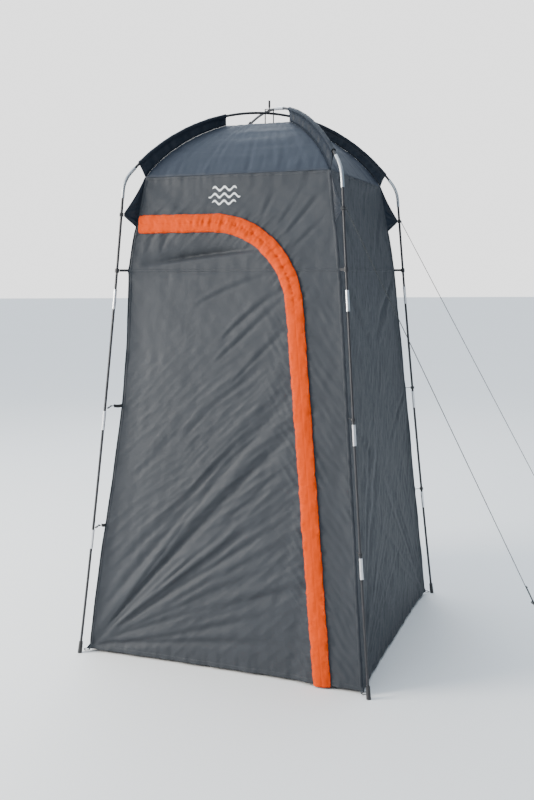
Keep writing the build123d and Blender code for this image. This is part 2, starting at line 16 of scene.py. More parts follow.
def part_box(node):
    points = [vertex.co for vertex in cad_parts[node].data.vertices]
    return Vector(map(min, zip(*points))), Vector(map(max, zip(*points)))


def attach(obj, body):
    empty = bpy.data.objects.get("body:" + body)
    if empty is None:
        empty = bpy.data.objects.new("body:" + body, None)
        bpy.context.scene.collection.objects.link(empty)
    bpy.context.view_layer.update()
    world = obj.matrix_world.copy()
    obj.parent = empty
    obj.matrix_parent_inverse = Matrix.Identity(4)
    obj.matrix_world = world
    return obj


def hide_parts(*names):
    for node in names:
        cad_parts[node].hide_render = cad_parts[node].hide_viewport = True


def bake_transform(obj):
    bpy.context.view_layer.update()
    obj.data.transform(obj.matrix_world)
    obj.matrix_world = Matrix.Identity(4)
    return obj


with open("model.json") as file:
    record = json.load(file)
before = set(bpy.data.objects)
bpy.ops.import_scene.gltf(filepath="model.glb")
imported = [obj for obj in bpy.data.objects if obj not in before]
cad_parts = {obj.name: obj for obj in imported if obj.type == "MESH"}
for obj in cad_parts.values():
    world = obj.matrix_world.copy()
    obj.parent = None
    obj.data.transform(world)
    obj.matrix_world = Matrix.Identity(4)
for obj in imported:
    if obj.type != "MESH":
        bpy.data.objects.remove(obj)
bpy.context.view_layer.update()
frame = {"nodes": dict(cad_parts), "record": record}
scene = bpy.context.scene


# ---- Short helpers ----
def ramp(value, length):
    """Rises from 0 to 1 while the value goes from 0 to the length."""
    return np.clip(value / length, 0, 1)


def bell(value):
    return np.exp(-(value**2))


def unit(vectors):
    return vectors / np.maximum(np.linalg.norm(vectors, axis=-1, keepdims=True), 1e-9)


def run_along(*axes):
    """Distance travelled along a path, from its coordinates."""
    return np.concatenate([[0], np.cumsum(np.sqrt(sum(np.diff(axis) ** 2 for axis in axes)))])


def set_inputs(node, values):
    for socket, value in values.items():
        node.inputs[socket].default_value = value


def grid_faces(n_rows, n_cols, start=0, closed=False):
    """Quads of a grid whose vertices run along its rows."""
    quads = []
    for row in range(start, start + (n_rows - 1) * n_cols, n_cols):
        for c in range(n_cols if closed else n_cols - 1):
            after = (c + 1) % n_cols
            quads.append((row + c, row + after, row + n_cols + after, row + n_cols + c))
    return quads


def put(name, data):
    """New object in the scene."""
    made = bpy.data.objects.new(name, data)
    scene.collection.objects.link(made)
    return made


# ---- Places read from the frame ----
hem_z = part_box("lower_wall_right")[0].z
seam_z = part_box("lower_wall_right")[1].z
eave_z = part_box("upper_wall_right")[1].z
peak_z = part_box("roof_front")[1].z
hem_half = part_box("lower_wall_right")[1].y
seam_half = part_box("upper_wall_right")[1].y
eave_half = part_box("roof_front")[1].x
lower_lean = (hem_half - seam_half) / (seam_z - hem_z)
upper_lean = (seam_half - eave_half) / (eave_z - seam_z)

# ---- Sizes ----
tape_width = 0.016
zip_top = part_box("zip_half_frame")[1].z - tape_width
zip_bend = 0.350
zip_lean = 0.11
zip_foot = (0.4145, 0.022)
zip_allowance = 0.008
flap_half = 0.035
crown_radius = 0.798
pole_radius = 0.005
roof_mid = (0.275, 2.018)
roof_shoulder = (0.135, 2.108)
gusset_tip_z, gusset_foot_z = 1.745, 1.700
hook_heights = (0.998, 0.518)

side_angles = {"front": -90, "right": 0, "back": 90, "left": 180}
corner_angles = {"front_left": 225, "front_right": 315, "back_right": 45, "back_left": 135}
side_names = list(side_angles)


# ---- Camera, at the reference view ----
camera_place = (1.3793, -3.6834, 1.5148)
camera_yaw, camera_pitch, camera_roll = radians(20.72), radians(-7.73), radians(-0.17)
camera = put("camera", bpy.data.cameras.new("camera"))
scene.camera = camera
camera.location = camera_place
turn = Matrix.Rotation(camera_yaw, 4, "Z") @ Matrix.Rotation(pi / 2 + camera_pitch, 4, "X")
camera.rotation_euler = (turn @ Matrix.Rotation(camera_roll, 4, "Z")).to_euler()
camera.data.sensor_width = 36
camera.data.lens = 41.77
camera.data.clip_start, camera.data.clip_end = 0.05, 60


# ---- Guylines ----
cord_width = 0.003
strand_gap = 0.0045  # strand centre to peg centre
guy_tops = {"front": Vector((0.454696, -0.438462, 1.744794)), "back": Vector((0.451861, 0.458225, 1.744806))}
guy_pegs = {"front": Vector((1.2, 0.05, 0.024)), "back": Vector((1.25, 1.25, 0.024))}
tail_length = 0.300
turn_reach = 6 * cord_width  # straight cord before and after the peg


def guy_route(name):
    """Route points of one guyline: down to its peg, round it and back up to its end."""
    top, peg = guy_tops[name], guy_pegs[name]
    side = Vector((top.y - peg.y, peg.x - top.x, 0)).normalized()
    down = (peg + side * strand_gap - top).normalized()
    turn_point = down * (2 * strand_gap)
    first, second = peg + side * strand_gap, peg - side * strand_gap
    above = down * turn_reach
    tail = second - down * tail_length
    return [top, first - above, first + turn_point, second + turn_point, second - above, tail]


def smooth_curve(name, points, radius):
    """Round cord on one NURBS spline."""
    data = bpy.data.curves.new(name, "CURVE")
    data.dimensions = "3D"
    data.bevel_depth, data.bevel_resolution, data.resolution_u = radius, 4, 12
    data.use_fill_caps = True
    spline = data.splines.new("NURBS")
    spline.points.add(len(points) - 1)
    for point, place in zip(spline.points, points):
        point.co = (*place, 1)
    spline.order_u = 3
    spline.use_endpoint_u = True
    return put(name, data)


# ---- Materials ----
class Nodes:
    """A material's node tree, with short calls for the nodes used here."""

    def __init__(self, name, color, roughness, **sockets):
        self.material = bpy.data.materials.new(name)
        self.material.use_nodes = True
        self.tree = self.material.node_tree
        self.shader = self.tree.nodes["Principled BSDF"]
        self.color = color
        set_inputs(self.shader, {"Base Color": (*color, 1), "Roughness": roughness})
        set_inputs(self.shader, {socket.replace("_", " "): value for socket, value in sockets.items()})
        self.place = self.add("ShaderNodeTexCoord").outputs["Object"]
        self.normal = None

    def add(self, kind, **values):
        node = self.tree.nodes.new(kind)
        for key, value in values.items():
            setattr(node, key, value)
        return node

    def link(self, a, b):
        self.tree.links.new(a, b)

    def noise(self, scale, detail=3, rough=0.5, stretch=None):
        node = self.add("ShaderNodeTexNoise")
        set_inputs(node, {"Scale": scale, "Detail": detail, "Roughness": rough})
        self.link(self.stretched(self.place, stretch), node.inputs["Vector"])
        return node.outputs["Fac"]

    def stretched(self, coords, stretch):
        if not stretch:
            return coords
        mapping = self.add("ShaderNodeMapping")
        set_inputs(mapping, {"Scale": stretch})
        self.link(coords, mapping.inputs["Vector"])
        return mapping.outputs["Vector"]

    def bands(self, direction, per_metre, coords):
        node = self.add("ShaderNodeTexWave", bands_direction=direction)
        set_inputs(node, {"Scale": per_metre * 2 * pi / 20, "Distortion": 0.6, "Detail": 1})
        self.link(coords, node.inputs["Vector"])
        return node.outputs["Fac"]

    def math(self, operation, a, b):
        node = self.add("ShaderNodeMath", operation=operation)
        for k, value in enumerate((a, b)):
            if isinstance(value, (int, float)):
                node.inputs[k].default_value = value
            else:
                self.link(value, node.inputs[k])
        return node.outputs[0]

    def spread(self, value, low, high, from_low=0.3, from_high=0.7):
        node = self.add("ShaderNodeMapRange")
        set_inputs(node, {"From Min": from_low, "From Max": from_high, "To Min": low, "To Max": high})
        self.link(value, node.inputs["Value"])
        return node.outputs["Result"]

    def tint(self, value, dark, light):
        """Colour between a dark and a light share of the base colour."""
        node = self.add("ShaderNodeMix", data_type="RGBA")
        for key, share in (("A", dark), ("B", light)):
            set_inputs(node, {key: (*[c * share for c in self.color], 1)})
        self.link(value, node.inputs["Factor"])
        self.link(node.outputs["Result"], self.shader.inputs["Base Color"])

    def rough(self, value, low, high):
        self.link(self.spread(value, low, high), self.shader.inputs["Roughness"])

    def bump(self, value, distance, strength=1.0):
        node = self.add("ShaderNodeBump")
        set_inputs(node, {"Distance": distance, "Strength": strength})
        self.link(value, node.inputs["Height"])
        if self.normal:
            self.link(self.normal, node.inputs["Normal"])
        self.normal = node.outputs["Normal"]
        self.link(self.normal, self.shader.inputs["Normal"])

    def flat(self):
        return self.add("ShaderNodeUVMap", uv_map="flat").outputs["UV"]


def coated_cloth(name, color, roughness, spread=0.12, crinkle=0.0006, gloss=0.26):
    """Coated polyester: a fine plain weave, crinkles and slow colour drift."""
    made = Nodes(name, color, roughness, Sheen_Weight=0.02, Sheen_Roughness=0.5, Specular_IOR_Level=gloss)
    ribs = 900  # per metre
    flat = made.flat()
    weave = made.math("MULTIPLY", made.bands("X", ribs, flat), made.bands("Y", ribs, flat))
    drift = made.noise(1.6, 4, 0.6)
    fine = made.noise(70, 5, 0.65)
    mixed = made.math("ADD", made.math("MULTIPLY", drift, 0.75), made.math("MULTIPLY", fine, 0.25))
    mixed = made.math("ADD", mixed, made.math("MULTIPLY", weave, 0.10))
    made.tint(made.spread(mixed, 0, 1, 0.32, 0.76), 1 - spread, 1 + spread)
    made.rough(fine, roughness - 0.06, roughness + 0.08)
    made.bump(made.noise(26, 4, 0.55), crinkle, 0.6)
    made.bump(weave, 0.00025, 0.5)
    return made.material


def webbing_cloth(name, color, ribs=420):
    made = Nodes(name, color, 0.78, Sheen_Weight=0.2, Sheen_Roughness=0.4)
    ridge = made.bands("Z", ribs, made.place)
    cross = made.bands("X", ribs * 1.6, made.place)
    made.tint(made.spread(made.math("ADD", ridge, made.noise(90, 3)), 0, 1, 0.3, 1.3), 0.6, 1.5)
    made.bump(made.math("ADD", ridge, cross), 0.0004, 0.6)
    return made.material


def moulded_plastic(name, color, roughness=0.42):
    made = Nodes(name, color, roughness, Specular_IOR_Level=0.5)
    grain = made.noise(900, 3, 0.6)
    made.tint(made.noise(35, 4), 0.75, 1.35)
    made.rough(made.noise(60, 4), roughness - 0.08, roughness + 0.12)
    made.bump(grain, 0.00008, 0.5)
    return made.material


def wrapped_rod(name, color):
    """Glossy resin over wound glass fibre, with fine lengthwise streaks and scuffs."""
    made = Nodes(name, color, 0.4, Coat_Weight=0.12, Coat_Roughness=0.3, Specular_IOR_Level=0.35)
    streaks = made.noise(40, 4, 0.6, stretch=(9, 9, 0.5))
    scuffs = made.noise(150, 4, 0.7, stretch=(1, 1, 0.35))
    made.tint(made.spread(streaks, 0, 1), 0.6, 1.9)
    made.rough(scuffs, 0.34, 0.58)
    made.bump(made.bands("DIAGONAL", 160, made.place), 0.00012, 0.5)
    made.bump(scuffs, 0.00006, 0.6)
    return made.material


def drawn_metal(name, color, roughness=0.34):
    made = Nodes(name, color, roughness, Metallic=1.0, Anisotropic=0.3)
    streaks = made.noise(220, 4, 0.65, stretch=(1, 1, 0.06))
    made.tint(made.noise(30, 4, 0.6), 0.82, 1.08)
    made.rough(streaks, roughness - 0.1, roughness + 0.14)
    made.bump(streaks, 0.00006, 0.5)
    return made.material


def braided_cord(name, color):
    made = Nodes(name, color, 0.72, Sheen_Weight=0.2)
    left = made.bands("DIAGONAL", 380, made.place)
    right = made.bands("DIAGONAL", 380, made.stretched(made.place, (-1, 1, 1)))
    plait = made.math("MULTIPLY", left, right)
    flecks = made.spread(made.noise(260, 2), 0, 1, 0.6, 0.64)
    made.tint(made.math("MAXIMUM", made.math("MULTIPLY", plait, 0.4), flecks), 0.6, 3.2)
    made.bump(plait, 0.0004, 0.7)
    return made.material


def thread(name, color):
    made = Nodes(name, color, 0.6, Sheen_Weight=0.3)
    made.tint(made.noise(500, 2), 0.8, 1.25)
    made.bump(made.bands("DIAGONAL", 1500, made.place), 0.0001, 0.5)
    return made.material


def printed_ink(name, color):
    made = Nodes(name, color, 0.5)
    made.tint(made.noise(300, 4, 0.7), 0.86, 1.04)
    made.bump(made.noise(700, 3), 0.00008, 0.5)
    return made.material


wall_fabric = coated_cloth("wall_fabric", (0.036, 0.0405, 0.0480), 0.58, gloss=0.22)
roof_fabric = coated_cloth("roof_fabric", (0.026, 0.035, 0.052), 0.54)
dark_fabric = coated_cloth("dark_fabric", (0.007, 0.012, 0.021), 0.48, crinkle=0.0005)
flap_fabric = coated_cloth("flap_fabric", (0.62, 0.056, 0.0), 0.60, spread=0.08, crinkle=0.0005, gloss=0.08)
webbing = webbing_cloth("webbing", (0.012, 0.012, 0.014))
elastic = webbing_cloth("elastic", (0.6, 0.6, 0.58), 900)
black_plastic = moulded_plastic("black_plastic", (0.014, 0.014, 0.016))
tip_plastic = moulded_plastic("tip_plastic", (0.02, 0.02, 0.022), 0.5)
pole_rod = wrapped_rod("pole_rod", (0.020, 0.020, 0.023))
ferrule_metal = drawn_metal("ferrule", (0.74, 0.75, 0.77))
elbow_metal = drawn_metal("elbow_metal", (0.50, 0.52, 0.54), 0.4)
steel = drawn_metal("steel", (0.62, 0.63, 0.64), 0.38)
zip_tape = webbing_cloth("zip_tape", (0.02, 0.02, 0.022), 1200)
zip_metal = moulded_plastic("zip_metal", (0.03, 0.03, 0.034), 0.28)
guy_braid = braided_cord("guy_cord", (0.022, 0.024, 0.026))
thread_dark = thread("thread_dark", (0.055, 0.06, 0.068))
thread_orange = thread("thread_orange", (0.62, 0.14, 0.03))
white_print = printed_ink("emblem_print", (0.78, 0.80, 0.80))

slot_materials = {
    "pole_rod": pole_rod, "ferrule": ferrule_metal, "elastic": elastic, "webbing": webbing,
    "black_plastic": black_plastic, "zip_metal": zip_metal, "steel": steel,
}
node_materials = {"foot_tips": tip_plastic, "elbow_tubes": elbow_metal}


def dress_frame():
    """Gives every CAD node that still shows its finished material."""
    slots = {part["node"]: part["material_slot"] for part in frame["record"]["subparts"]}
    for name, node in frame["nodes"].items():
        material = node_materials.get(name, slot_materials.get(slots[name]))
        if material:
            node.data.materials.clear()
            node.data.materials.append(material)


# ---- The cabin as one cloth ----
columns = 64  # across each wall
lower_rows, upper_rows = 84, 24
rows = lower_rows + upper_rows
cloth_slack = 0.003
cloth_travel = 0.028  # the furthest any point may settle
door_shear = 0.014
cloth_weight = 0.25
cloth_frames = 26
pin_reach = 0.012  # cloth held on each side of a clip
cloth_settings = {
    "quality": 5, "mass": 0.08, "air_damping": 4, "bending_stiffness": 0.25, "shear_stiffness": 30,
    "tension_stiffness": 60, "compression_stiffness": 60,
    "tension_damping": 8, "compression_damping": 8, "shear_damping": 8,
}


def half_width(z):
    """Half width of the cabin at a height, on the wall's outer face."""
    return np.where(z < seam_z, seam_half + (seam_z - z) * lower_lean, seam_half - (z - seam_z) * upper_lean)


up = np.array([0, 0, 1.0])


def axes_at(angle):
    """Outward and rightward directions at an angle in degrees."""
    turned = radians(angle)
    return np.array([cos(turned), sin(turned), 0]), np.array([-sin(turned), cos(turned), 0])


def wall_axes(side):
    return axes_at(side_angles[side])


def corner_axes(corner):
    return axes_at(corner_angles[corner])


def wall_points(side, u, z):
    """Points on a wall as cut, before the cloth has settled."""
    outward, right = wall_axes(side)
    u, z = np.broadcast_arrays(np.asarray(u, float), np.asarray(z, float))
    return half_width(z)[..., None] * outward + u[..., None] * right + z[..., None] * up


def roof_height(distance):
    """Height of the roof's outer face at a distance from its middle, along a gore."""
    (x2, y2), (x3, y3), (x1, y1) = roof_mid, roof_shoulder, (eave_half, eave_z)
    a, b, c, d = x1 - x2, y1 - y2, x1 - x3, y1 - y3
    e, f = (x1**2 - x2**2 + y1**2 - y2**2) / 2, (x1**2 - x3**2 + y1**2 - y3**2) / 2
    cx, cy = (d * e - b * f) / (a * d - b * c), (a * f - c * e) / (a * d - b * c)
    radius = hypot(x1 - cx, y1 - cy)
    shoulder = peak_z - (peak_z - y3) * distance / x3
    return np.where(distance < x3, shoulder, cy + np.sqrt(np.maximum(radius**2 - (distance - cx) ** 2, 0)))


def row_heights():
    lower = np.linspace(hem_z, seam_z, lower_rows + 1)
    return np.concatenate([lower, np.linspace(seam_z, eave_z, upper_rows + 1)[1:]])


def cabin_grid():
    """Rest places: wall rows from hem to eave round the cabin, then the inside of the roof's grid."""
    z = row_heights()[:, None]
    share = np.linspace(-1, 1, columns + 1)[:-1][None, :]
    walls = np.concatenate([wall_points(s, share * half_width(z), z) for s in side_names], 1)
    line = np.linspace(-eave_half, eave_half, columns + 1)
    x, y = np.meshgrid(line, line, indexing="ij")
    roof = np.stack([x, y, roof_height(np.maximum(abs(x), abs(y)))], -1)
    return walls, roof


def roof_index():
    """Vertex numbers of the roof's grid, whose edge is the walls' top row."""
    top = rows * 4 * columns
    index = np.full((columns + 1, columns + 1), -1)
    for i in range(columns + 1):
        index[i, 0] = top + i
        index[columns, i] = top + columns + i
        index[columns - i, columns] = top + 2 * columns + i
        index[0, columns - i] = top + (3 * columns + i) % (4 * columns)
    inside = np.arange((columns - 1) ** 2).reshape(columns - 1, columns - 1)
    index[1:-1, 1:-1] = (rows + 1) * 4 * columns + inside
    return index


def zip_side_u(z, shift=0.0):
    """Place of the zip's leaning side run at a height, moved towards the door by shift."""
    return zip_foot[0] - zip_lean * (z - zip_foot[1]) - shift * hypot(1, zip_lean)


def zip_centre():
    """Centre of the zip's bend."""
    z = zip_top - zip_bend
    return zip_side_u(z, zip_bend), z


def zip_distance(u, z):
    """Signed distance to the zip line, positive on the door."""
    cu, cz = zip_centre()
    top, side = zip_top - z, (zip_side_u(z) - u) / hypot(1, zip_lean)
    lean = np.array([1, zip_lean]) / hypot(1, zip_lean)
    round_zone = (u > cu) & ((u - cu) * lean[1] < (z - cz) * lean[0])
    straight = np.where((u <= cu) & (z > cz - 0.2), top, side)
    straight = np.where(u <= cu, np.minimum(top, side), side)
    return np.where(round_zone & (z > cz), zip_bend - np.hypot(u - cu, z - cz), straight)


def cabin_pins():
    """How firmly each wall and roof vertex is held, from 0 to 1."""
    z = row_heights()
    walls = np.zeros((rows + 1, 4 * columns))
    for k, corner in enumerate(corner_angles):
        mask = z >= gusset_foot_z - 0.01
        for height in (hem_z, seam_z, *(() if corner == "front_left" else hook_heights)):
            mask |= abs(z - height) < pin_reach
        walls[mask, k * columns] = 1
    u = np.linspace(-1, 1, columns + 1)[:-1][None, :] * half_width(z[:, None])
    near = abs(zip_distance(u, z[:, None])) < 0.011
    walls[:, :columns][near] = 1
    roof = np.zeros((columns + 1, columns + 1))
    for i, x in enumerate(np.linspace(-eave_half, eave_half, columns + 1)):
        if abs(x) >= roof_shoulder[0] - 0.01 or abs(x) < pin_reach:
            roof[i, i] = roof[i, columns - i] = 1
    return walls, roof


def simulate_cabin():
    """Settles the cabin's cloth and returns how far each vertex moved, for the walls and for the roof."""
    walls, roof = cabin_grid()
    index = roof_index()
    points = np.concatenate([walls.reshape(-1, 3), roof[1:-1, 1:-1].reshape(-1, 3)])
    faces = grid_faces(rows + 1, 4 * columns, closed=True)
    faces += [
        (index[i, j], index[i + 1, j], index[i + 1, j + 1], index[i, j + 1])
        for i in range(columns)
        for j in range(columns)
    ]
    pin_walls, pin_roof = cabin_pins()
    pins = np.concatenate([pin_walls.ravel(), pin_roof[1:-1, 1:-1].ravel()])
    start = np.where(pins[:, None] > 0, points + corner_pull(points), points + ripple(points))
    data = bpy.data.meshes.new("cabin_cloth")
    data.from_pydata(start.tolist(), [], [tuple(int(v) for v in f) for f in faces])
    cloth = put("cabin_cloth", data)
    group = cloth.vertex_groups.new(name="held")
    group.add([int(v) for v in np.flatnonzero(pins)], 1.0, "REPLACE")
    cloth.shape_key_add(name="start")
    cut = cloth.shape_key_add(name="cut")
    cut.data.foreach_set("co", cut_shape(points).ravel())
    modifier = cloth.modifiers.new("cloth", "CLOTH")
    settings = modifier.settings
    settings.rest_shape_key = cut
    settings.effector_weights.gravity = cloth_weight
    settings.vertex_group_mass = "held"
    for key, value in cloth_settings.items():
        setattr(settings, key, value)
    modifier.collision_settings.use_collision = False
    modifier.point_cache.frame_start, modifier.point_cache.frame_end = 1, cloth_frames
    for step in range(1, cloth_frames + 1):
        scene.frame_set(step)
    settled = cloth.evaluated_get(bpy.context.evaluated_depsgraph_get()).data
    moved = np.zeros(len(points) * 3)
    settled.vertices.foreach_get("co", moved)
    moved = moved.reshape(-1, 3) - points
    scene.frame_set(1)
    bpy.data.objects.remove(cloth)
    long = np.maximum(np.linalg.norm(moved, axis=1, keepdims=True), 1e-9)
    moved *= cloth_travel * np.tanh(long / cloth_travel) / long
    return moved[: walls.size // 3].reshape(walls.shape), moved[index]


def ripple(points):
    """Small seeded waves, so that the slack has somewhere to go."""
    heights = np.array([noise.noise(Vector(p) * 7.0) * 0.004 for p in points])
    return unit(points * (1 - up)) * heights[:, None]


def cut_shape(points):
    """The cloth as cut: a little larger than its frame, and skewed on the door, which one corner pulls."""
    u, z = points[:, 0], points[:, 2]
    on_front = abs(points[:, 1] + half_width(z)) < 0.001
    share = ramp(zip_distance(u, z), 0.12) * on_front * (z < eave_z)
    low = ramp(1.75 - z, 0.5)
    skewed = points.copy()
    skewed[:, 2] -= door_shear * (u + hem_half) * share * low
    return skewed * (1 + cloth_slack)


def corner_pull(points):
    """The bottom corners are pegged out a little past the cut, and the front left one the most."""
    reach = np.minimum(abs(points[:, 0]), abs(points[:, 1])) / hem_half
    low = np.clip(1 - (points[:, 2] - hem_z) / 0.03, 0, 1) * (reach > 0.98)
    pull = np.where((points[:, 0] < 0) & (points[:, 1] < 0), 0.009, 0.004) * low
    return np.sign(points * (1 - up)) * pull[:, None]


# ---- The settled cloth as a surface ----
wall_moves, roof_moves = simulate_cabin()


def smooth_lookup(grid, r, c, wrap):
    """Catmull-Rom lookup of a grid at fractional rows and columns."""
    last_row, last_col = grid.shape[0] - 1, grid.shape[1] - 1
    r0, c0 = np.floor(r).astype(int), np.floor(c).astype(int)
    fr, fc = r - r0, c - c0

    def weights(f):
        return [
            (-f + 2 * f**2 - f**3) / 2,
            (2 - 5 * f**2 + 3 * f**3) / 2,
            (f + 4 * f**2 - 3 * f**3) / 2,
            (f**3 - f**2) / 2,
        ]

    total = 0
    for i, wr in enumerate(weights(fr)):
        row = np.clip(r0 + i - 1, 0, last_row)
        for j, wc in enumerate(weights(fc)):
            col = (c0 + j - 1) % (last_col + 1) if wrap else np.clip(c0 + j - 1, 0, last_col)
            total += (wr * wc)[..., None] * grid[row, col]
    return total


def waves(u, v, seed, count, short, long):
    """Seeded sum of plane waves with lengths from short to long, about -1 to 1."""
    draw = np.random.default_rng(seed)
    total = 0
    for _ in range(count):
        angle, length, phase = draw.uniform(0, pi), draw.uniform(short, long), draw.uniform(0, 2 * pi)
        total += np.sin(2 * pi * (u * cos(angle) + v * sin(angle)) / length + phase)
    return total / sqrt(count)


def gathers(along, seed, length=0.03):
    """Uneven small puckers along a seam, about -1 to 1."""
    draw = np.random.default_rng(seed)
    total = 0
    for scale in (0.62, 1.0, 1.7, 2.9):
        total += np.sin(2 * pi * along / (length * scale) + draw.uniform(0, 2 * pi)) * scale**0.3
    return total / 2.6


def creases(u, z, seed, angle, short, long, count=7):
    """Fine creases running at an angle in degrees, coming and going over the cloth, from 0 to 1."""
    draw = np.random.default_rng(seed)
    total = 0
    for _ in range(count):
        turned, length = radians(angle + draw.uniform(-12, 12)), draw.uniform(short, long)
        across = z * cos(turned) - u * sin(turned)
        along = u * cos(turned) + z * sin(turned)
        bend = 0.55 * np.sin(2 * pi * along / (14 * length) + draw.uniform(0, 6))
        shape = np.abs(np.sin(pi * across / length + bend))
        present = np.clip(0.5 + waves(u, z, draw.integers(1000), 4, 0.16, 0.5), 0, 1)
        total += (1 - shape) ** 2 * present
    return total / sqrt(count)


def fan(u, z, origin, seed, start, stop, lines):
    """Tension lines that spread out from one pulled point between two angles in degrees, about -1 to 1."""
    draw = np.random.default_rng(seed)
    du, dz = u - origin[0], z - origin[1]
    reach, angle = np.hypot(du, dz), np.degrees(np.arctan2(dz, du))
    total = 0
    for k in range(lines):
        centre = start + (stop - start) * (k + draw.uniform(0.1, 0.9)) / lines
        bowed = centre + draw.uniform(-5, 5) * (reach - 0.3)
        wide = draw.uniform(0.007, 0.015) * (0.5 + 1.4 * reach) / np.maximum(reach, 0.02)
        near, far = draw.uniform(0.0, 0.18), draw.uniform(0.35, 1.15)
        strength = ramp(reach - near, 0.10) * ramp(far - reach, 0.25) * draw.uniform(0.45, 1)
        gap = (angle - bowed) / np.degrees(wide)
        total += strength * (0.7 * bell(gap - 1.25) - np.exp(-np.abs(gap) ** 1.5))
    return total


def fold(u, z, start, angle, length, width, depth, bend=0.0):
    """One tension fold: a sharp valley with a softer ridge above it, from start at an angle in degrees."""
    along_u, along_z = cos(radians(angle)), sin(radians(angle))
    t = ((u - start[0]) * along_u + (z - start[1]) * along_z) / length
    across = (z - start[1]) * along_u - (u - start[0]) * along_z - bend * t * (1 - t) * 4
    inside = np.clip(t, 0, 1)
    reach = width * (0.35 + 0.65 * np.sqrt(inside))
    strength = np.sin(pi * inside**0.7) ** 0.8
    valley = -np.exp(-(np.abs(across / reach) ** 1.4))
    ridge = 0.65 * bell((across - 1.9 * reach) / (1.3 * reach))
    return depth * strength * (valley + ridge)


def sag(u, z, start, angle, length, depth):
    """Slack cloth that hangs over its own seam: it sinks in slowly from above and comes back out sharply."""
    along_u, along_z = cos(radians(angle)), sin(radians(angle))
    t = ramp((u - start[0]) * along_u + (z - start[1]) * along_z, length)
    above = (z - start[1]) * along_u - (u - start[0]) * along_z - 0.010 * np.sin(pi * t)
    sunk = np.where(above > 0, np.exp(-np.abs(above) / 0.032), bell(above / 0.008))
    return -depth * np.sin(pi * t**0.9) ** 1.5 * sunk


# Each fold: start (u, z), angle, length, width, depth and bow, on the front.
front_folds = [
    ((-0.56, 0.03), 47, 1.45, 0.028, 0.0110, 0.02),
    ((-0.50, 0.20), 49, 1.20, 0.024, 0.0055, 0.01),
    ((-0.46, 0.36), 47, 1.15, 0.026, 0.0065, -0.02),
    ((-0.56, 0.03), 38, 0.85, 0.022, 0.0055, -0.01),
    ((-0.56, 0.03), 27, 0.80, 0.022, 0.0050, -0.02),
    ((-0.55, 0.03), 16, 0.75, 0.018, 0.0035, -0.02),
    ((-0.12, 0.62), 50, 0.60, 0.018, 0.0045, 0.0),
    ((-0.02, 0.55), 44, 0.40, 0.016, 0.0035, 0.0),
    ((-0.20, 0.88), 40, 0.50, 0.020, 0.0040, 0.01),
    ((-0.10, 0.35), 36, 0.42, 0.016, 0.0028, 0.0),
    ((-0.05, 0.22), 22, 0.40, 0.015, 0.0025, 0.0),
    ((-0.40, 0.72), 46, 0.40, 0.020, 0.0030, 0.0),
    ((-0.14, 1.400), 20, 0.36, 0.012, 0.0042, 0.01),
    ((-0.03, 1.270), 37, 0.34, 0.012, 0.0052, 0.01),
    ((-0.06, 1.180), 41, 0.40, 0.012, 0.0044, 0.0),
    ((0.02, 1.110), 44, 0.32, 0.011, 0.0036, 0.0),
    ((-0.36, 1.60), 62, 0.10, 0.014, 0.0030, 0.0),
    ((-0.30, 1.60), 66, 0.10, 0.012, 0.0025, 0.0),
    ((0.215, 1.655), 50, 0.20, 0.010, 0.0042, 0.0),
    ((0.185, 1.690), 56, 0.20, 0.011, 0.0024, 0.0),
    ((0.245, 1.610), 42, 0.17, 0.010, 0.0034, 0.0),
    ((0.120, 1.725), 68, 0.13, 0.012, 0.0028, 0.0),
    ((-0.26, 1.735), 58, 0.14, 0.018, 0.0014, 0.0),
    ((-0.12, 1.735), 70, 0.12, 0.015, 0.0012, 0.0),
]
right_folds = [
    ((-0.53, 0.05), 58, 1.00, 0.030, 0.0060, 0.02),
    ((-0.52, 0.05), 40, 0.80, 0.026, 0.0045, 0.0),
    ((0.53, 0.05), 128, 0.90, 0.028, 0.0045, 0.0),
    ((-0.42, 1.52), -38, 0.55, 0.024, 0.0050, 0.0),
    ((0.42, 1.52), 215, 0.50, 0.024, 0.0045, 0.0),
    ((-0.47, 0.99), -32, 0.42, 0.022, 0.0045, 0.0),
    ((0.47, 0.99), 208, 0.40, 0.020, 0.0035, 0.0),
    ((-0.38, 1.86), -50, 0.36, 0.020, 0.0045, 0.0),
    ((0.38, 1.86), 230, 0.34, 0.018, 0.0035, 0.0),
]
wall_folds = {
    "front": front_folds,
    "right": right_folds,
    "back": [(start, angle - 4, *rest) for start, angle, *rest in right_folds],
    "left": [((-start[0], start[1]), 180 - angle, *rest) for start, angle, *rest in right_folds],
}
zip_flat = 0.006  # no folds this close to the zip line
hem_corner = (-0.565, 0.02)  # where the pegged corner pulls


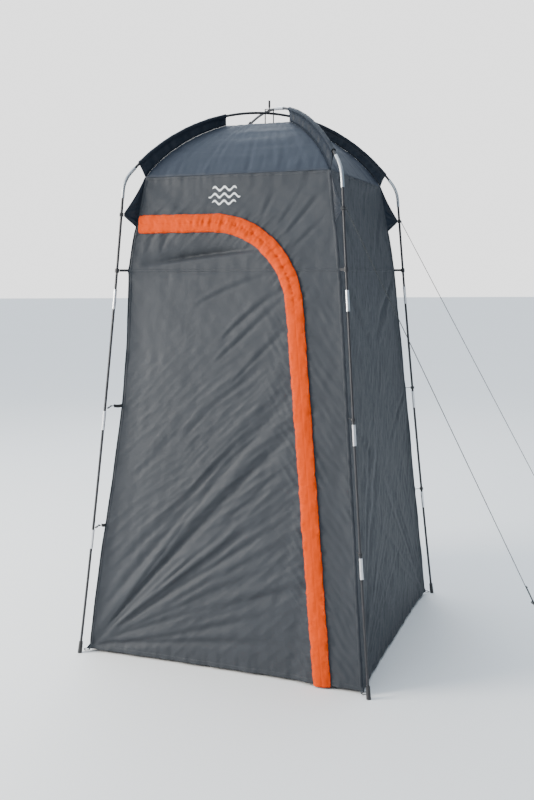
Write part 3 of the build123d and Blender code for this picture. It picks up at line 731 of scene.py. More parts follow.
def wall_detail(side, u, z):
    """Outward offset of tension folds, seam puckers and crinkle on a wall."""
    seed = side_names.index(side) * 10
    offset = 0.00045 * waves(u, z, seed + 1, 9, 0.03, 0.09) + 0.0009 * waves(u, z, seed + 2, 7, 0.10, 0.26)
    for values in wall_folds[side]:
        offset += fold(u, z, *values)
    half = half_width(z)
    if side != "front":
        offset += 0.0016 * creases(u, z, seed + 7, 62, 0.035, 0.09)
        offset += 0.0024 * fan(u, z, hem_corner, seed + 8, 20, 80, 12)
        offset += 0.0024 * fan(-u, z, hem_corner, seed + 9, 25, 80, 10)
    for edge, shift in ((half - u, 3), (half + u, 4)):
        offset += 0.0016 * gathers(z, seed + shift) * np.exp(-np.maximum(edge, 0) / 0.028)
    for height, depth in ((seam_z, 0.0005), (eave_z, 0.0016), (hem_z, 0.0020)):
        offset += depth * gathers(u, seed + 5, 0.042) * np.exp(-abs(z - height) / 0.030)
    if side == "front":
        away = zip_distance(u, z)
        low = ramp(1.45 - z, 0.4) * ramp(away, 0.05)
        offset += 0.0056 * low * fan(u, z, hem_corner, 31, 8, 54, 22)
        middle = np.exp(-(((u - 0.02) / 0.34) ** 2) - ((z - 0.75) / 0.42) ** 2)
        offset += 0.0042 * low * (0.3 + middle) * creases(u, z, 33, 43, 0.026, 0.065)
        offset += 0.0010 * creases(u, z, 35, 52, 0.03, 0.07) * ramp(z - seam_z, 0.1)
        offset += sag(u, z, (-0.39, 1.548), 6.5, 0.56, 0.0360)
        offset += sag(u, z, (-0.40, 1.505), 2, 0.62, 0.0060)
        beside = ramp(0.16 - away, 0.10) * ramp(1.55 - z, 0.3)
        offset += 0.0036 * beside * creases(u, z, 37, -52, 0.020, 0.050)
        along = np.where(z > zip_top - 0.3, u - z, -z)
        beside_flap = np.exp(-abs(abs(away) - flap_half) / 0.026)
        offset += 0.0022 * gathers(along, seed + 6, 0.034) * beside_flap
        offset *= ramp(abs(away) - zip_flat, flap_half - zip_flat) ** 1.5
    to_corner = half - abs(u)
    return offset * ramp(to_corner, 0.012)


seam_bow = 0.021  # how far the free front left seam pulls in, each way


def bow_moves(side, u, z):
    """The front left seam's hooks are undone, so it hangs in a shallow curve between its ends."""
    if side not in ("front", "left"):
        return 0.0
    height = ramp(z - hem_z, seam_z - hem_z)
    bow = seam_bow * np.sin(pi * height**1.8)
    outward, right = wall_axes(side)
    sign = 1 if side == "front" else -1
    away = np.maximum(half_width(z) + sign * u, 0)
    along = bow * np.clip(1 - away / 0.7, 0, 1) ** 1.5
    inward = bow * np.exp(-((away / 0.16) ** 1.5))
    return along[..., None] * sign * right - inward[..., None] * outward


def cloth_points(side, u, z, out=0.0):
    """Where points of a wall's cloth end up, standing out of it by out."""
    u, z = (np.asarray(a, float) for a in np.broadcast_arrays(u, z))
    lower_row = (z - hem_z) / (seam_z - hem_z) * lower_rows
    upper_row = lower_rows + (z - seam_z) / (eave_z - seam_z) * upper_rows
    row = np.where(z < seam_z, lower_row, upper_row)
    column = (u / half_width(z) + 1) / 2 * columns + side_names.index(side) * columns
    moved = smooth_lookup(wall_moves, np.clip(row, 0, rows), column, wrap=True)
    moved += bow_moves(side, u, z)
    return wall_points(side, u, z) + moved + (wall_detail(side, u, z) + out)[..., None] * wall_axes(side)[0]


def roof_points(x, y):
    """Where points of the roof's cloth end up."""
    x, y = (np.asarray(a, float) for a in np.broadcast_arrays(x, y))
    distance = np.maximum(abs(x), abs(y))
    height = roof_height(distance)
    slope = (roof_height(distance + 0.001) - height) / 0.001
    sideways = abs(x) >= abs(y)
    outward = np.stack([np.where(sideways, np.sign(x), 0), np.where(sideways, 0, np.sign(y))], -1)
    hip = abs(abs(x) - abs(y))
    tilt = -outward * (slope * ramp(hip, 0.02))[..., None]
    normal = unit(np.concatenate([tilt, np.ones_like(x)[..., None]], -1))
    cell = 2 * eave_half / columns
    moved = smooth_lookup(roof_moves, (x + eave_half) / cell, (y + eave_half) / cell, wrap=False)
    across = np.minimum(abs(x), abs(y)) * np.sign(np.where(sideways, y, x))
    offset = 0.0005 * waves(x, y, 61, 9, 0.03, 0.09) + 0.0008 * waves(x, y, 62, 7, 0.09, 0.22)
    offset += 0.0018 * gathers(distance, 63) * np.exp(-hip / 0.03)
    offset += 0.0018 * gathers(across, 64, 0.042) * np.exp(-(eave_half - distance) / 0.03)
    gore = np.where(sideways, 2 + np.sign(x), 4 + np.sign(y)).astype(int)
    for number in (1, 3, 5):
        lines = 0.0016 * fan(distance, across, (0, 0), 65 + number, -43, 43, 11)
        offset += np.where(gore == number, lines, 0)
    edge = ramp(eave_half - distance, 0.012) * ramp(hip, 0.012)
    base = np.stack([x, y, height], -1)
    return base + 0.4 * moved + (offset * edge)[..., None] * normal


# ---- Makers ----
def mesh_piece(name, points, faces, flat, material, slot=None, body="tent"):
    """Smooth-shaded mesh piece on a body, with its flat coordinates kept for the weave."""
    data = bpy.data.meshes.new(name)
    data.from_pydata(np.asarray(points, float).tolist(), [], [tuple(int(v) for v in f) for f in faces])
    data.validate()
    data.shade_smooth()
    if flat is not None:
        layer = data.uv_layers.new(name="flat")
        corners = np.zeros(len(data.loops), int)
        data.loops.foreach_get("vertex_index", corners)
        layer.data.foreach_set("uv", np.asarray(flat, float)[corners].ravel())
    data.materials.append(material)
    piece = put(name, data)
    if body:
        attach(piece, body)
    return piece


def grid_piece(name, points, flat, **options):
    """Mesh piece from a grid of points."""
    faces = grid_faces(*points.shape[:2])
    return mesh_piece(name, points.reshape(-1, 3), faces, flat.reshape(-1, 2), **options)


def thicken(piece, thickness, offset=-1.0):
    solid = piece.modifiers.new("thickness", "SOLIDIFY")
    solid.thickness, solid.offset = thickness, offset
    return piece


# ---- Walls and roof ----
fabric_thickness = 0.0006
wall_cloth = {"material": wall_fabric, "slot": "wall_fabric"}
dark_cloth = {"material": dark_fabric, "slot": "dark_fabric"}
guy_cord = {"material": guy_braid, "slot": "guy_cord"}
grid_columns, grid_rows = 190, 300


def wall_grid():
    z = np.linspace(hem_z, eave_z, grid_rows + 1)[:, None]
    share = np.linspace(-1, 1, grid_columns + 1)[None, :]
    return np.broadcast_arrays(share * half_width(z), z)


def make_wall(side):
    u, z = wall_grid()
    wall = grid_piece(f"{side}_wall_cloth", cloth_points(side, u, z), np.stack([u, z], -1), **wall_cloth)
    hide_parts(f"lower_wall_{side}", f"upper_wall_{side}")
    thicken(wall, fabric_thickness)


def make_roof():
    line = np.linspace(-eave_half, eave_half, 2 * columns + 1)
    x, y = np.meshgrid(line, line)
    flat = np.stack([x, y], -1)
    roof = grid_piece("roof_canopy", roof_points(x, y), flat, material=roof_fabric, slot="roof_fabric")
    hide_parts(*(f"roof_{side}" for side in side_names))
    thicken(roof, fabric_thickness)


# ---- Door and fixed front ----
arc_steps = 28


def zip_path(shift, low, step=0.008):
    """Points (u, z) along the zip line, from the left corner over the bend to low, with their lengths."""
    cu, cz = zip_centre()
    radius = zip_bend - shift
    lean = atan2(zip_lean, 1)
    left = -float(half_width(zip_top)) + 0.001
    parts = [np.array([[left, zip_top - shift], [cu, zip_top - shift]])]
    angles = np.linspace(pi / 2, lean, arc_steps)
    parts.append(np.stack([cu + radius * np.cos(angles), cz + radius * np.sin(angles)], -1))
    parts.append(np.array([[zip_side_u(low, shift), low]]))
    corners = np.concatenate(parts)
    corners = corners[np.concatenate([[True], np.linalg.norm(np.diff(corners, axis=0), axis=1) > 1e-6])]
    run = run_along(*corners.T)
    along = np.linspace(0, run[-1], int(run[-1] / step) + 1)
    return np.stack([np.interp(along, run, corners[:, k]) for k in range(2)], -1), along


def zip_band_grid(shifts, low, step=0.008):
    """Grid of (u, z) between shifts along the zip: rows follow the zip, columns the shifts."""
    middle, along = zip_path(0.0, low, step)
    tangent = unit(np.gradient(middle, axis=0))
    inward = np.stack([tangent[:, 1], -tangent[:, 0]], -1)
    shifts = np.asarray(shifts)
    places = middle[:, None] + inward[:, None] * shifts[None, :, None]
    return places[..., 0], places[..., 1], np.broadcast_to(along[:, None], places.shape[:2]), tangent


def cut_by_zip():
    """The door's outline cut from the front's grid: vertices (u, z) and faces."""
    u, z = wall_grid()
    built = bmesh.new()
    made = [built.verts.new((a, b, 0)) for a, b in zip(u.ravel(), z.ravel())]
    for face in grid_faces(*u.shape):
        built.faces.new([made[v] for v in face])
    edge, _ = zip_path(zip_allowance, hem_z - 0.02, step=0.022)
    for (u0, z0), (u1, z1) in zip(edge, edge[1:]):
        normal = (z0 - z1, u1 - u0, 0)
        geometry = [*built.verts, *built.edges, *built.faces]
        bmesh.ops.bisect_plane(built, geom=geometry, plane_co=(u0, z0, 0), plane_no=normal, clear_outer=True)
    built.verts.ensure_lookup_table()
    places = np.array([v.co[:2] for v in built.verts])
    faces = [[v.index for v in f.verts] for f in built.faces]
    built.free()
    return places, faces


hinge_span = (0.023, 0.085)  # from the corner seam


def hinge_blend(piece):
    """Bakes the piece's placement into its mesh; the band a hand's width beside the corner seam, where the
    fabric would bend as the door swings, is worked out but not used.
    """
    low, high = Vector((-hem_half, -hem_half, hem_z)), Vector((-seam_half, -seam_half, seam_z))
    axis = (high - low).normalized()
    across = (Vector((1, 0, 0)) - axis * axis.x).normalized()
    across.y = 0
    across.normalize()
    start, end = (low + across * reach for reach in hinge_span)
    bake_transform(piece)
    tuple(start)
    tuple(end)


def make_door():
    places, faces = cut_by_zip()
    u, z = places[:, 0], places[:, 1]
    door = mesh_piece("door_cloth", cloth_points("front", u, z), faces, places, body=None, **wall_cloth)
    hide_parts("door_upper", "door_lower")
    thicken(door, fabric_thickness)
    area = sum(polygon_area(places[f]) for f in faces)
    hinge_blend(door)


def polygon_area(places):
    u, z = places[:, 0], places[:, 1]
    return abs(float(np.dot(u, np.roll(z, -1)) - np.dot(z, np.roll(u, -1)))) / 2


def zip_edge_u(z, shift):
    """Place of the zip's side run and bend at a height below its top."""
    cu, cz = zip_centre()
    radius = zip_bend - shift
    bent = cu + np.sqrt(np.maximum(radius**2 - (z - cz) ** 2, 0))
    return np.where(z < cz + radius * sin(atan2(zip_lean, 1)), zip_side_u(z, shift), bent)


def front_upper_places():
    """Spokes from the zip's top run and bend out to the eave and the right corner, above the mid seam."""
    cu, cz = zip_centre()
    radius = zip_bend + zip_allowance
    low_angle = asin((seam_z - cz) / radius)
    top_z = zip_top + zip_allowance
    share = np.linspace(-1, cu / float(half_width(top_z)), 52)
    inner = [np.stack([share * half_width(top_z), np.full_like(share, top_z)], -1)]
    outer = [np.stack([share * eave_half, np.full_like(share, eave_z)], -1)]
    start = float(share[-1] * eave_half)
    spans = (eave_half - start, eave_z - seam_z)
    middle = pi / 2 - (pi / 2 - low_angle) * spans[0] / sum(spans)
    for first, last, count, ends in (
        (pi / 2, middle, 44, ((start, eave_z), (eave_half, eave_z))),
        (middle, low_angle, 40, ((eave_half, eave_z), (seam_half, seam_z))),
    ):
        angle = np.linspace(first, last, count)[1:, None]
        inner.append(np.concatenate([cu + radius * np.cos(angle), cz + radius * np.sin(angle)], 1))
        from_end, to_end = np.array(ends)
        outer.append(from_end + np.linspace(0, 1, count)[1:, None] * (to_end - from_end))
    inner, outer = np.concatenate(inner)[:, None], np.concatenate(outer)[:, None]
    spread = np.linspace(1, 0, 27)[None, :, None]
    return inner * (1 - spread) + outer * spread


def make_front():
    upper = front_upper_places()
    z = np.linspace(hem_z, seam_z, 200)[:, None]
    share = np.linspace(0, 1, 27)[None, :]
    low_edge = zip_edge_u(z, -zip_allowance)
    lower = np.stack(np.broadcast_arrays(low_edge + share * (half_width(z) - low_edge), z), -1)
    for name, places, node, flat in (
        ("front_upper_cloth", upper, "front_wall_upper", (2 * seam_half, eave_z - seam_z)),
        ("front_side_cloth", lower, "front_wall_side", (0.36, seam_z - hem_z)),
    ):
        front = grid_piece(name, cloth_points("front", places[..., 0], places[..., 1]), places, **wall_cloth)
        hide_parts(node)
        thicken(front, fabric_thickness)
        corners = places.reshape(-1, 2)
        area = sum(polygon_area(corners[list(f)]) for f in grid_faces(*places.shape[:2]))


# ---- Storm flap ----
flap_places = (-0.035, -0.026, -0.010, 0.010, 0.026, 0.035)
flap_heights = (0.0045, 0.0085, 0.0100, 0.0100, 0.0085, 0.0012)
flap_thickness = 0.0012
flap_lift = 0.0042  # extra room over the upper slider's run
flap_left = 0.0148  # where the flap starts along the zip
flap_row = 0.029  # stitch rows, from the flap's middle


def flap_height(shift, along):
    """How far the flap stands out of the wall, with the gathers that its bend makes."""
    over_slider = ramp(0.40 - along, 0.10) * ramp(0.037 - abs(shift), 0.006)
    height = np.interp(shift, flap_places, flap_heights) + flap_lift * over_slider
    bend_start = zip_centre()[0] + float(half_width(zip_top))
    bend_end = bend_start + zip_bend * (pi / 2 - atan2(zip_lean, 1))
    in_bend = ramp(along - bend_start + 0.12, 0.12) * ramp(bend_end + 0.06 - along, 0.10)
    middle = np.clip(1 - (shift / flap_half) ** 2, 0, 1)
    height += (0.0005 + 0.0009 * in_bend) * gathers(along + 0.12 * shift, 71, 0.024) * (0.25 + middle)
    dents = np.clip(gathers(along + 0.25 * shift, 75, 0.015) + 0.15, 0, 1)
    dents *= bell((shift + 0.004) / 0.010)
    seam = bell((shift + 0.002) / 0.0012)
    height = height - (0.0004 + 0.0060 * in_bend) * dents - 0.0006 * seam
    return height + 0.0006 * waves(along, shift, 72, 6, 0.02, 0.07)


def make_flap():
    shifts = np.array([-0.035, -0.0335, -0.031, -0.029, -0.0275, -0.023, -0.018, -0.014, -0.010, -0.0065])
    shifts = np.concatenate([shifts, [-0.0035, -0.0020, -0.0005, 0.0025], -shifts[::-1]])
    u, z, along, tangent = zip_band_grid(shifts, hem_z - 0.006, step=0.005)
    wobble = 0.0011 * gathers(along[:, :1], 74, 0.045) * np.sign(shifts) * (np.abs(shifts) / flap_half) ** 2
    u, z = u + wobble * tangent[:, 1:], z - wobble * tangent[:, :1]
    keep = along[:, 0] >= flap_left
    u, z, along = u[keep], z[keep], along[keep]
    shift = np.broadcast_to(shifts[None, :], u.shape)
    hem_edge = 0.0006 * (abs(shift) > 0.0282) - 0.0005 * (abs(abs(shift) - flap_row) < 0.0011)
    points = cloth_points("front", u, np.maximum(z, 0.006), flap_height(shift, along) + hem_edge)
    cloth = {"material": flap_fabric, "slot": "flap_fabric"}
    flap = grid_piece("storm_flap", points, np.stack([along, shift], -1), body=None, **cloth)
    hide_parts("zip_flap")
    thicken(flap, flap_thickness)
    hinge_blend(flap)


# ---- Zip ----
tooth_pitch = 0.0026


def make_zip(side_sign, name, node):
    """Tape and teeth of one zip half: side_sign is 1 on the door and -1 on the fixed wall."""
    low = hem_z + 0.006
    shifts = side_sign * np.array([0.0030, 0.0060, 0.0110, tape_width])
    u, z, along, _ = zip_band_grid(shifts, low)
    lift = np.interp(abs(shifts), (0.003, 0.006, tape_width), (0.0012, 0.0007, 0.0006))
    tape = cloth_points("front", u, z, lift).reshape(-1, 3)
    faces = grid_faces(*u.shape)
    tape_flat = np.stack([along, np.broadcast_to(shifts, u.shape)], -1).reshape(-1, 2)
    across = side_sign * np.array([-0.0007, 0.0006, 0.0026, 0.0036])
    heights = np.array([0.0021, 0.0024, 0.0022, 0.0012])
    u, z, _, tangent = zip_band_grid(across, low, step=tooth_pitch)
    if side_sign < 0:  # the other half's teeth sit between these
        u, z = (u[1:] + u[:-1]) / 2, (z[1:] + z[:-1]) / 2
    direction = tangent[: len(u), None]
    ring = []
    for half in (-tooth_pitch * 0.21, tooth_pitch * 0.21):
        for share in (1.0, 0.35):
            place = u + direction[..., 0] * half, z + direction[..., 1] * half
            ring.append(cloth_points("front", *place, heights * share))
    teeth = np.stack(ring, 2)  # tooth, across, corner
    count, spans = teeth.shape[:2]
    order = [0, 2, 3, 1]
    for k in range(count):
        base = len(tape) + k * spans * 4
        for a in range(base, base + (spans - 1) * 4, 4):
            for p, q in zip(order, order[1:] + order[:1]):
                faces.append((a + p, a + q, a + 4 + q, a + 4 + p))
        faces.append(tuple(base + c for c in order))
        faces.append(tuple(base + (spans - 1) * 4 + c for c in order[::-1]))
    points = np.concatenate([tape, teeth.reshape(-1, 3)])
    flat = np.concatenate([tape_flat, np.zeros((count * spans * 4, 2))])
    made = mesh_piece(name, points, faces, flat, zip_tape, "zip_tape", None if side_sign > 0 else "tent")
    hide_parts(node)
    if side_sign > 0:
        hinge_blend(made)


# ---- Seams and stitches ----
seam_shares = np.array([-0.5, -0.44, -0.2, 0.2, 0.44, 0.5])
seam_heights = np.array([0.0001, 0.0010, 0.0013, 0.0013, 0.0010, 0.0001])
stitch_pitch, stitch_size = 0.0042, 0.00042


def surface_strip(name, surface, a, b, across, width, lift, **options):
    """Raised seam along a path on a surface, with its own rounded edges."""
    shifts = seam_shares * width
    points = surface(a[:, None] + across[0] * shifts, b[:, None] + across[1] * shifts, seam_heights * lift)
    flat = np.stack(np.broadcast_arrays(run_along(a, b)[:, None], shifts), -1)
    return grid_piece(name, points, flat, **options)


def stitch_row(surface, a, b, lift):
    """Raised stitches along a path: points and faces."""
    run = run_along(a, b)
    ends = np.arange(0, run[-1] - stitch_pitch, stitch_pitch)
    length = stitch_pitch * 0.62

    def at(share, rise=0.0):
        place = ends + share * length
        return surface(np.interp(place, run, a), np.interp(place, run, b), lift + rise)

    start, middle, end = at(0), at(0.5), at(1)
    above = unit(at(0.5, 0.001) - middle)
    sideways = np.cross(unit(end - start), above)
    ring = [middle + sideways * stitch_size, middle + above * stitch_size * 1.6]
    ring += [middle - sideways * stitch_size, middle - above * stitch_size]
    points = np.stack([start, *ring, end], 1)
    faces = []
    for k in range(0, 6 * len(ends), 6):
        for c in range(4):
            this, after = k + 1 + c, k + 1 + (c + 1) % 4
            faces += [(k, after, this), (k + 5, this, after)]
    return points.reshape(-1, 3), faces


def join_pieces(name, found, *options):
    """One mesh piece from several lists of points, faces and flat places."""
    points, faces, flat, total = [], [], [], 0
    for part_points, part_faces, *part_flat in found:
        points.append(part_points)
        faces += [tuple(v + total for v in f) for f in part_faces]
        flat += part_flat
        total += len(part_points)
    return mesh_piece(name, np.concatenate(points), faces, np.concatenate(flat) if flat else None, *options)


def on_wall(side):
    return lambda u, z, out: cloth_points(side, u, z, out)


# ---- Pole sleeves and corner gussets ----
crowns = {
    "front_left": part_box("roof_pole_a")[1].z - pole_radius,
    "back_right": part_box("roof_pole_a")[1].z - pole_radius,
    "front_right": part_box("roof_pole_b")[1].z - pole_radius,
    "back_left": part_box("roof_pole_b")[1].z - pole_radius,
}
sleeve_angles = (radians(14.0), radians(44.2))
sleeve_radius = 0.0078
fin_half = 0.0007
webbing_thickness = 0.0013


def make_sleeve(corner):
    """Pole tunnel over the roof, gathered on its rod and sewn down to the hip."""
    outward, side = corner_axes(corner)
    seed = 80 + list(corner_angles).index(corner)
    share = np.linspace(0, 1, 90)
    first, last = sleeve_angles
    angle = first + share * (last - first)
    along = share * crown_radius * (last - first)
    height = crowns[corner] - crown_radius + crown_radius * np.cos(angle)
    pole = crown_radius * np.sin(angle)[:, None] * outward + height[:, None] * up
    distance = roof_shoulder[0] + share * (eave_half - roof_shoulder[0])
    hip = (distance * sqrt(2))[:, None] * outward + (roof_height(distance) + 0.0004)[:, None] * up
    rise = pole - hip
    fin = np.linalg.norm(rise, axis=1, keepdims=True)
    rise /= fin
    around = np.radians(np.linspace(-150, 150, 19))
    wobble = gathers(along, seed, 0.034)
    radius = sleeve_radius * (1 + 0.05 * wobble)[:, None] * (1 + 0.04 * np.sin(3 * around))[None, :]
    ends = ramp(np.minimum(share, 1 - share), 0.05)
    radius += 0.0012 * np.exp(-ends * 3)[:, None]
    turned = np.cos(around)[:, None] * rise[:, None] + np.sin(around)[:, None] * side
    tube = pole[:, None] + radius[..., None] * turned
    drops = np.array([0.25, 0.5, 0.75, 1.0])
    lean = 0.0022 * gathers(along, seed + 5, 0.05)[:, None] * np.sin(pi * drops)[None, :]
    reach = fin - sleeve_radius * 0.87

    def flank(sign, order):
        d = drops[order]
        down = pole[:, None] - rise[:, None] * (sleeve_radius * 0.87 + reach[:, None] * d[None, :, None])
        thick = fin_half + (sleeve_radius * 0.5 - fin_half) * (1 - d) ** 3
        return down + (sign * thick[None, :] + lean[:, order])[..., None] * side

    ring = np.concatenate([flank(-1, [3, 2, 1, 0]), tube, flank(1, [0, 1, 2, 3])], 1)
    flat = np.stack(np.broadcast_arrays(along[:, None], np.linspace(0, 0.09, ring.shape[1])), -1)
    faces = grid_faces(*ring.shape[:2], closed=True)
    made = mesh_piece(f"sleeve_{corner}_cloth", ring.reshape(-1, 3), faces, flat.reshape(-1, 2), **dark_cloth)
    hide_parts(f"sleeve_{corner}")


def leg_point(corner, z):
    """Centre of a leg at a height, from the CAD leg's own vertices."""
    co = np.array([v.co for v in frame["nodes"][f"leg_{corner}"].data.vertices])
    outward, _ = corner_axes(corner)
    slope, start = np.polyfit(co[:, 2], co @ outward, 1)
    return slope * z + start


def make_gusset(corner):
    """Wing of cloth between a wall corner and its leg, with a bound free edge."""
    outward, side = corner_axes(corner)
    tip_low, tip_high = gusset_tip_z - 0.006, gusset_tip_z + 0.006
    tip_reach = leg_reaches[corner] - 0.0078
    z = np.concatenate([np.linspace(gusset_foot_z, tip_low, 12), np.linspace(tip_high, eave_z, 34)])
    inner = half_width(z) * sqrt(2) + 0.0012
    eave_reach, hollow = eave_half * sqrt(2) + 0.0012, 0.038
    t = ramp(eave_z - z, eave_z - tip_high)
    spread = tip_reach - eave_reach
    free = eave_reach + spread * t - (0.5 * spread - hollow) * 4 * t * (1 - t)
    foot = half_width(gusset_foot_z) * sqrt(2) + 0.0012
    low = foot + (tip_reach - foot) * ramp(z - gusset_foot_z, tip_low - gusset_foot_z)
    outer = np.maximum(np.where(z >= tip_high, free, low), inner + 0.0005)
    s = np.linspace(0, 1, 22)[None, :]
    reach = inner[:, None] + (outer - inner)[:, None] * s
    height = np.broadcast_to(z[:, None], reach.shape)
    seed = 90 + list(corner_angles).index(corner)
    from_tip = np.degrees(np.arctan2(height - gusset_tip_z, tip_reach + 0.01 - reach))
    away = np.hypot(height - gusset_tip_z, tip_reach - reach)
    billow = 0.004 * np.sin(pi * s) * np.sin(pi * ramp(height - gusset_foot_z, eave_z - gusset_foot_z))
    pulls = 0.0018 * np.sin(radians(17) * from_tip + seed) * ramp(away, 0.05) * ramp(0.15 - away, 0.1)
    lateral = billow + pulls * np.maximum(np.sin(pi * s), 0) ** 0.5
    points = reach[..., None] * outward + height[..., None] * up + lateral[..., None] * side
    made = grid_piece(f"gusset_{corner}_cloth", points, np.stack([reach, height], -1), **dark_cloth)
    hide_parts(f"gusset_{corner}")
    thicken(made, webbing_thickness - 0.0002, 0)
    tube_piece(f"gusset_{corner}_binding", points[:, -1], 0.0015, **dark_cloth)


def tube_piece(name, path, radius, sides=10, **options):
    """Round tube along points, closed at its ends."""
    path = np.asarray(path, float)
    tangent = unit(np.gradient(path, axis=0))
    first = unit(np.cross(tangent, [0.3, 0.2, 0.93]))
    second = np.cross(tangent, first)
    angle = np.linspace(0, 2 * pi, sides, endpoint=False)[:, None]
    ring = path[:, None] + radius * (np.cos(angle) * first[:, None] + np.sin(angle) * second[:, None])
    last = (len(path) - 1) * sides
    faces = grid_faces(len(path), sides, closed=True)
    faces += [tuple(range(sides))[::-1], tuple(range(last, last + sides))]
    flat = np.stack(np.broadcast_arrays(run_along(*path.T)[:, None], angle[:, 0] * radius), -1)
    return mesh_piece(name, ring.reshape(-1, 3), faces, flat.reshape(-1, 2), **options)


# ---- Seams, hems and corner piping ----
# Each level seam: name, height, width and how far it stands out.
level_seams = (
    ("mid", seam_z, 0.010, 1.0),
    ("eave", eave_z - 0.006, 0.010, 0.7),
    ("hem", hem_z + 0.009, 0.017, 0.8),
)


def sewn_seam(name, surface, u, z, across, width, lift, threads, thread_lift, on_door):
    """Raised seam on a wall with its rows of stitches; on the door it is kept off the tent's body and its
    placement is baked into its mesh.
    """
    body = None if on_door else "tent"
    strip = surface_strip(name, surface, u, z, across, width, lift, body=body, **wall_cloth)
    rows_found = [stitch_row(surface, *row, thread_lift) for row in threads]
    stitches = join_pieces(f"{name}_thread", rows_found, thread_dark, "webbing", body)
    if on_door:
        hinge_blend(strip)
        hinge_blend(stitches)


def make_level_seam(side, level, height, width, lift):
    half = float(half_width(height))
    cuts = [(-half, half, "")]
    if side == "front" and level != "eave":
        zip_u = float(zip_side_u(height))
        cuts = [(-half + 0.001, zip_u - 0.010, "_door"), (zip_u + 0.010, half, "_fixed")]
    for start, end, suffix in cuts:
        u = np.linspace(start, end, max(6, int((end - start) / 0.008)))
        z = np.full_like(u, height)
        threads = [(u, z + k * (width / 2 - 0.002)) for k in (-1, 1)]
        name = f"{side}_{level}_seam{suffix}"
        sewn_seam(name, on_wall(side), u, z, (0, -1), width, lift, threads, 0.0013 * lift, suffix == "_door")


def make_seams():
    for side in side_names:
        for level in level_seams:
            make_level_seam(side, *level)
        for edge, sign in (("left", -1), ("right", 1)):
            z = np.linspace(hem_z + 0.001, eave_z - 0.001, 210)
            u = sign * (half_width(z) - 0.0062)
            parts = (("wall", z > 0),)
            if (side, edge) == ("front", "left"):
                parts = (("door", z <= zip_top - 0.012), ("fixed", z >= zip_top + 0.012))
            for part, keep in parts:
                name = f"{side}_{edge}_{part}_seam"
                threads = [(u[keep] - sign * 0.0028, z[keep])]
                place = (u[keep], z[keep], (-1, 0), 0.009, 0.8)
                sewn_seam(name, on_wall(side), *place, threads, 0.0011, part == "door")
    for side, corner in zip(side_names, ("front_right", "back_right", "back_left", "front_left")):
        z = np.linspace(hem_z, eave_z, 230)
        path = cloth_points(side, half_width(z), z) + 0.0014 * corner_axes(corner)[0]
        tube_piece(f"piping_{corner}", path, 0.0019, **dark_cloth)


def make_hook_tabs():
    """Webbing tabs between the free front left seam and its two hook loops."""
    outward, _ = corner_axes("front_left")
    rise = np.linspace(-0.0065, 0.0065, 7)
    share = np.linspace(-0.12, 1, 14)[:, None]
    found = []
    for height in hook_heights:
        seam = cloth_points("front", -half_width(height), np.full(1, height))[0]
        loop = outward * (sqrt(2) * float(half_width(height)) + 0.004) + height * up
        line = seam + (loop - seam) * share
        line[:, 2] -= 0.0022 * np.sin(pi * np.clip(share[:, 0], 0, 1))
        strip = line[:, None] + rise[:, None] * up
        run = np.linspace(0, float(np.linalg.norm(loop - seam)), len(share))
        flat = np.stack(np.broadcast_arrays(run[:, None], rise), -1).reshape(-1, 2)
        found.append((strip.reshape(-1, 3), grid_faces(len(share), len(rise)), flat))
    thicken(join_pieces("hook_tabs", found, webbing, "webbing"), webbing_thickness, 0)


def make_flap_threads():
    u, z, along, _ = zip_band_grid([-flap_row, flap_row], hem_z - 0.004, step=0.005)
    keep = along[:, 0] >= 0.0165
    run = along[keep, 0]
    found = []
    for shift, row_u, row_z in zip((-flap_row, flap_row), u[keep].T, np.maximum(z[keep], 0.007).T):

        def surface(at, _, out, shift=shift, row_u=row_u, row_z=row_z):
            place = np.interp(at, run, row_u), np.interp(at, run, row_z)
            return cloth_points("front", *place, flap_height(np.full_like(at, shift), at) + out)

        found.append(stitch_row(surface, run, np.zeros_like(run), 0.0002))
    hinge_blend(join_pieces("storm_flap_thread", found, thread_orange, "flap_fabric", None))


# ---- Emblem: three plain water waves ----
emblem_place = (-0.040, 1.838)  # middle of the top wave
emblem_step, emblem_rise, emblem_line = 0.026, 0.0068, 0.0042
emblem_wave = 0.040


def make_emblem():
    """White print of three waves, one above the other."""
    t = np.linspace(-1, 1, 91)[:, None]
    across = np.linspace(-1, 1, 5)
    found = []
    for row, half in enumerate((0.050, 0.066, 0.050)):
        thin = emblem_line * np.sqrt(np.clip(1 - t**8, 0.0004, 1))
        middle = emblem_place[1] - emblem_step * row + emblem_rise * np.cos(2 * pi * half * t / emblem_wave)
        u, z = np.broadcast_arrays(emblem_place[0] + half * t, middle + thin * across)
        faces = [f[::-1] for f in grid_faces(*u.shape)]
        flat = np.stack([u, z], -1).reshape(-1, 2)
        found.append((cloth_points("front", u, z, 0.0006).reshape(-1, 3), faces, flat))
    join_pieces("emblem_print", found, white_print)


# ---- Guyline pieces ----
knot_size, knot_cord = 0.0042, 0.0013
loop_radius = 0.0092  # of the loop round the leg's tie


def make_knot(name, place, along):
    """Small overhand knot, pulled tight along a direction."""
    t = np.linspace(0, 2 * pi, 60)
    x, y, z = np.sin(t) + 2 * np.sin(2 * t), np.cos(t) - 2 * np.cos(2 * t), -1.4 * np.sin(3 * t)
    local = np.stack([x, y, z], -1) / 3
    turned = Vector(along).to_track_quat("X", "Z").to_matrix()
    path = np.array([Vector(place) + turned @ Vector(p * knot_size) for p in local])
    return tube_piece(name, path, knot_cord, 8, **guy_cord)


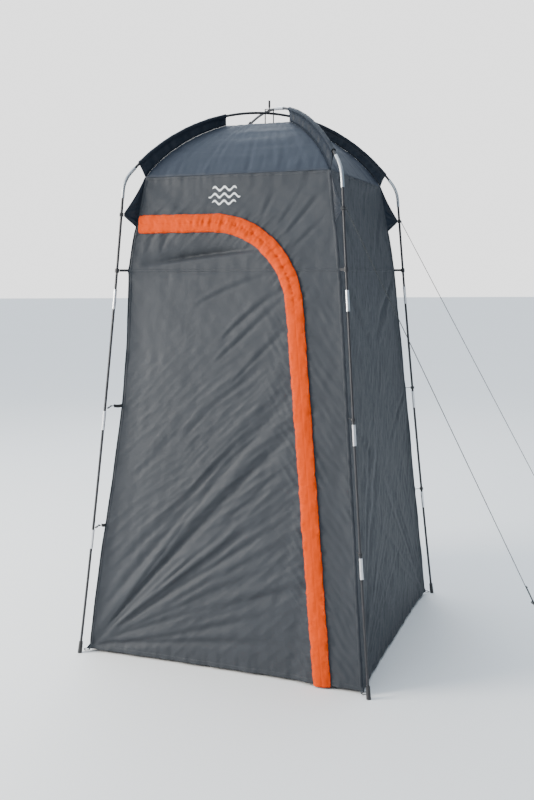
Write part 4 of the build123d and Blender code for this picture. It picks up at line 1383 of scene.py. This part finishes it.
def make_guylines():
    for name in guy_tops:
        route = guy_route(name)
        line = smooth_curve(f"guyline_{name}_cord", route, cord_width / 2)
        line.data.materials.append(guy_braid)
        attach(line, "tent")
        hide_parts(f"guyline_{name}")
        down = (route[1] - route[0]).normalized()
        top_knot = make_knot(f"guy_knot_{name}_top", route[0], down)
        end_knot = make_knot(f"guy_knot_{name}_end", route[-1], down)
        flat = (guy_pegs[name] - guy_tops[name]) * Vector((1, 1, 0))
        flat.normalize()
        side = Vector((-flat.y, flat.x, 0))
        centre = route[0] - side * strand_gap - flat * 0.0108
        angle = np.linspace(0, 2 * pi, 40)
        places = ((loop_radius * cos(a), loop_radius * sin(a), 0.0012 * sin(2 * a)) for a in angle)
        ring = [centre + Vector(place) for place in places]
        loop = tube_piece(f"guy_loop_{name}", ring, cord_width / 2, 8, **guy_cord)
        tuple(route[0])


# ---- Floor and light ----
floor_reach = 90
# How the light from the sky changes along each axis: from, to, and its strength at both.
sky_fades = (("X", -0.2, 0.7, 1.17, 0.10), ("Y", -0.2, 0.5, 1.0, 1.2), ("Z", 0.35, 0.9, 0.92, 2.3))


def make_studio():
    floor_data = bpy.data.meshes.new("floor")
    corners = [(x * floor_reach, y * floor_reach, 0) for x, y in ((-1, -1), (1, -1), (1, 1), (-1, 1))]
    floor_data.from_pydata(corners, [], [(0, 1, 2, 3)])
    floor = put("floor", floor_data)
    paint = Nodes("floor", (0.88, 0.88, 0.87), 0.85)
    paint.tint(paint.noise(0.6, 3), 0.985, 1.01)
    floor.data.materials.append(paint.material)
    world = bpy.data.worlds.new("studio")
    scene.world = world
    world.use_nodes = True
    tree = world.node_tree
    light, output = tree.nodes["Background"], tree.nodes["World Output"]
    set_inputs(light, {"Color": (0.83, 0.92, 1.02, 1)})
    kinds = ("TexCoord", "SeparateXYZ", "LightPath", "Background", "MixShader")
    place, parts, seen, shown, mixed = (tree.nodes.new(f"ShaderNode{kind}") for kind in kinds)
    tree.links.new(place.outputs["Generated"], parts.inputs["Vector"])
    strength = None
    for axis, *limits in sky_fades:
        fade = tree.nodes.new("ShaderNodeMapRange")
        set_inputs(fade, dict(zip(("From Min", "From Max", "To Min", "To Max"), limits)))
        tree.links.new(parts.outputs[axis], fade.inputs["Value"])
        if strength:
            product = tree.nodes.new("ShaderNodeMath")
            product.operation = "MULTIPLY"
            tree.links.new(strength, product.inputs[0])
            tree.links.new(fade.outputs["Result"], product.inputs[1])
        strength = product.outputs[0] if strength else fade.outputs["Result"]
    tree.links.new(strength, light.inputs["Strength"])
    set_inputs(shown, {"Color": (1, 1, 1, 1), "Strength": 2.2})
    tree.links.new(seen.outputs["Is Camera Ray"], mixed.inputs[0])
    tree.links.new(light.outputs[0], mixed.inputs[1])
    tree.links.new(shown.outputs[0], mixed.inputs[2])
    tree.links.new(mixed.outputs[0], output.inputs["Surface"])
    lamps = (
        ("key", (-5.2, -3.4, 2.6), 2.4, 730, (1.0, 0.94, 0.845)),
        ("fill", (4.6, 0.6, 3.2), 3.0, 24, (0.38, 0.68, 1.0)),
        ("back", (-2.0, 4.2, 4.4), 2.5, 90, (0.94, 0.97, 1.0)),
    )
    for name, place, size, power, color in lamps:
        lamp = bpy.data.lights.new(name, "AREA")
        lamp.size, lamp.energy, lamp.color = size, power, color
        placed = put(name, lamp)
        placed.location = place
        placed.rotation_euler = (Vector((0, 0, 1.0)) - Vector(place)).to_track_quat("-Z", "Y").to_euler()


# ---- The tent ----
leg_reaches = {corner: leg_point(corner, gusset_tip_z) for corner in corner_angles}
dress_frame()
make_guylines()
for side in ("right", "back", "left"):
    make_wall(side)
make_roof()
make_door()
make_front()
make_flap()
make_flap_threads()
make_zip(1, "zip_door_teeth", "zip_half_door")
make_zip(-1, "zip_frame_teeth", "zip_half_frame")
for corner in corner_angles:
    make_sleeve(corner)
    make_gusset(corner)
make_seams()
make_hook_tabs()
make_emblem()
make_studio()
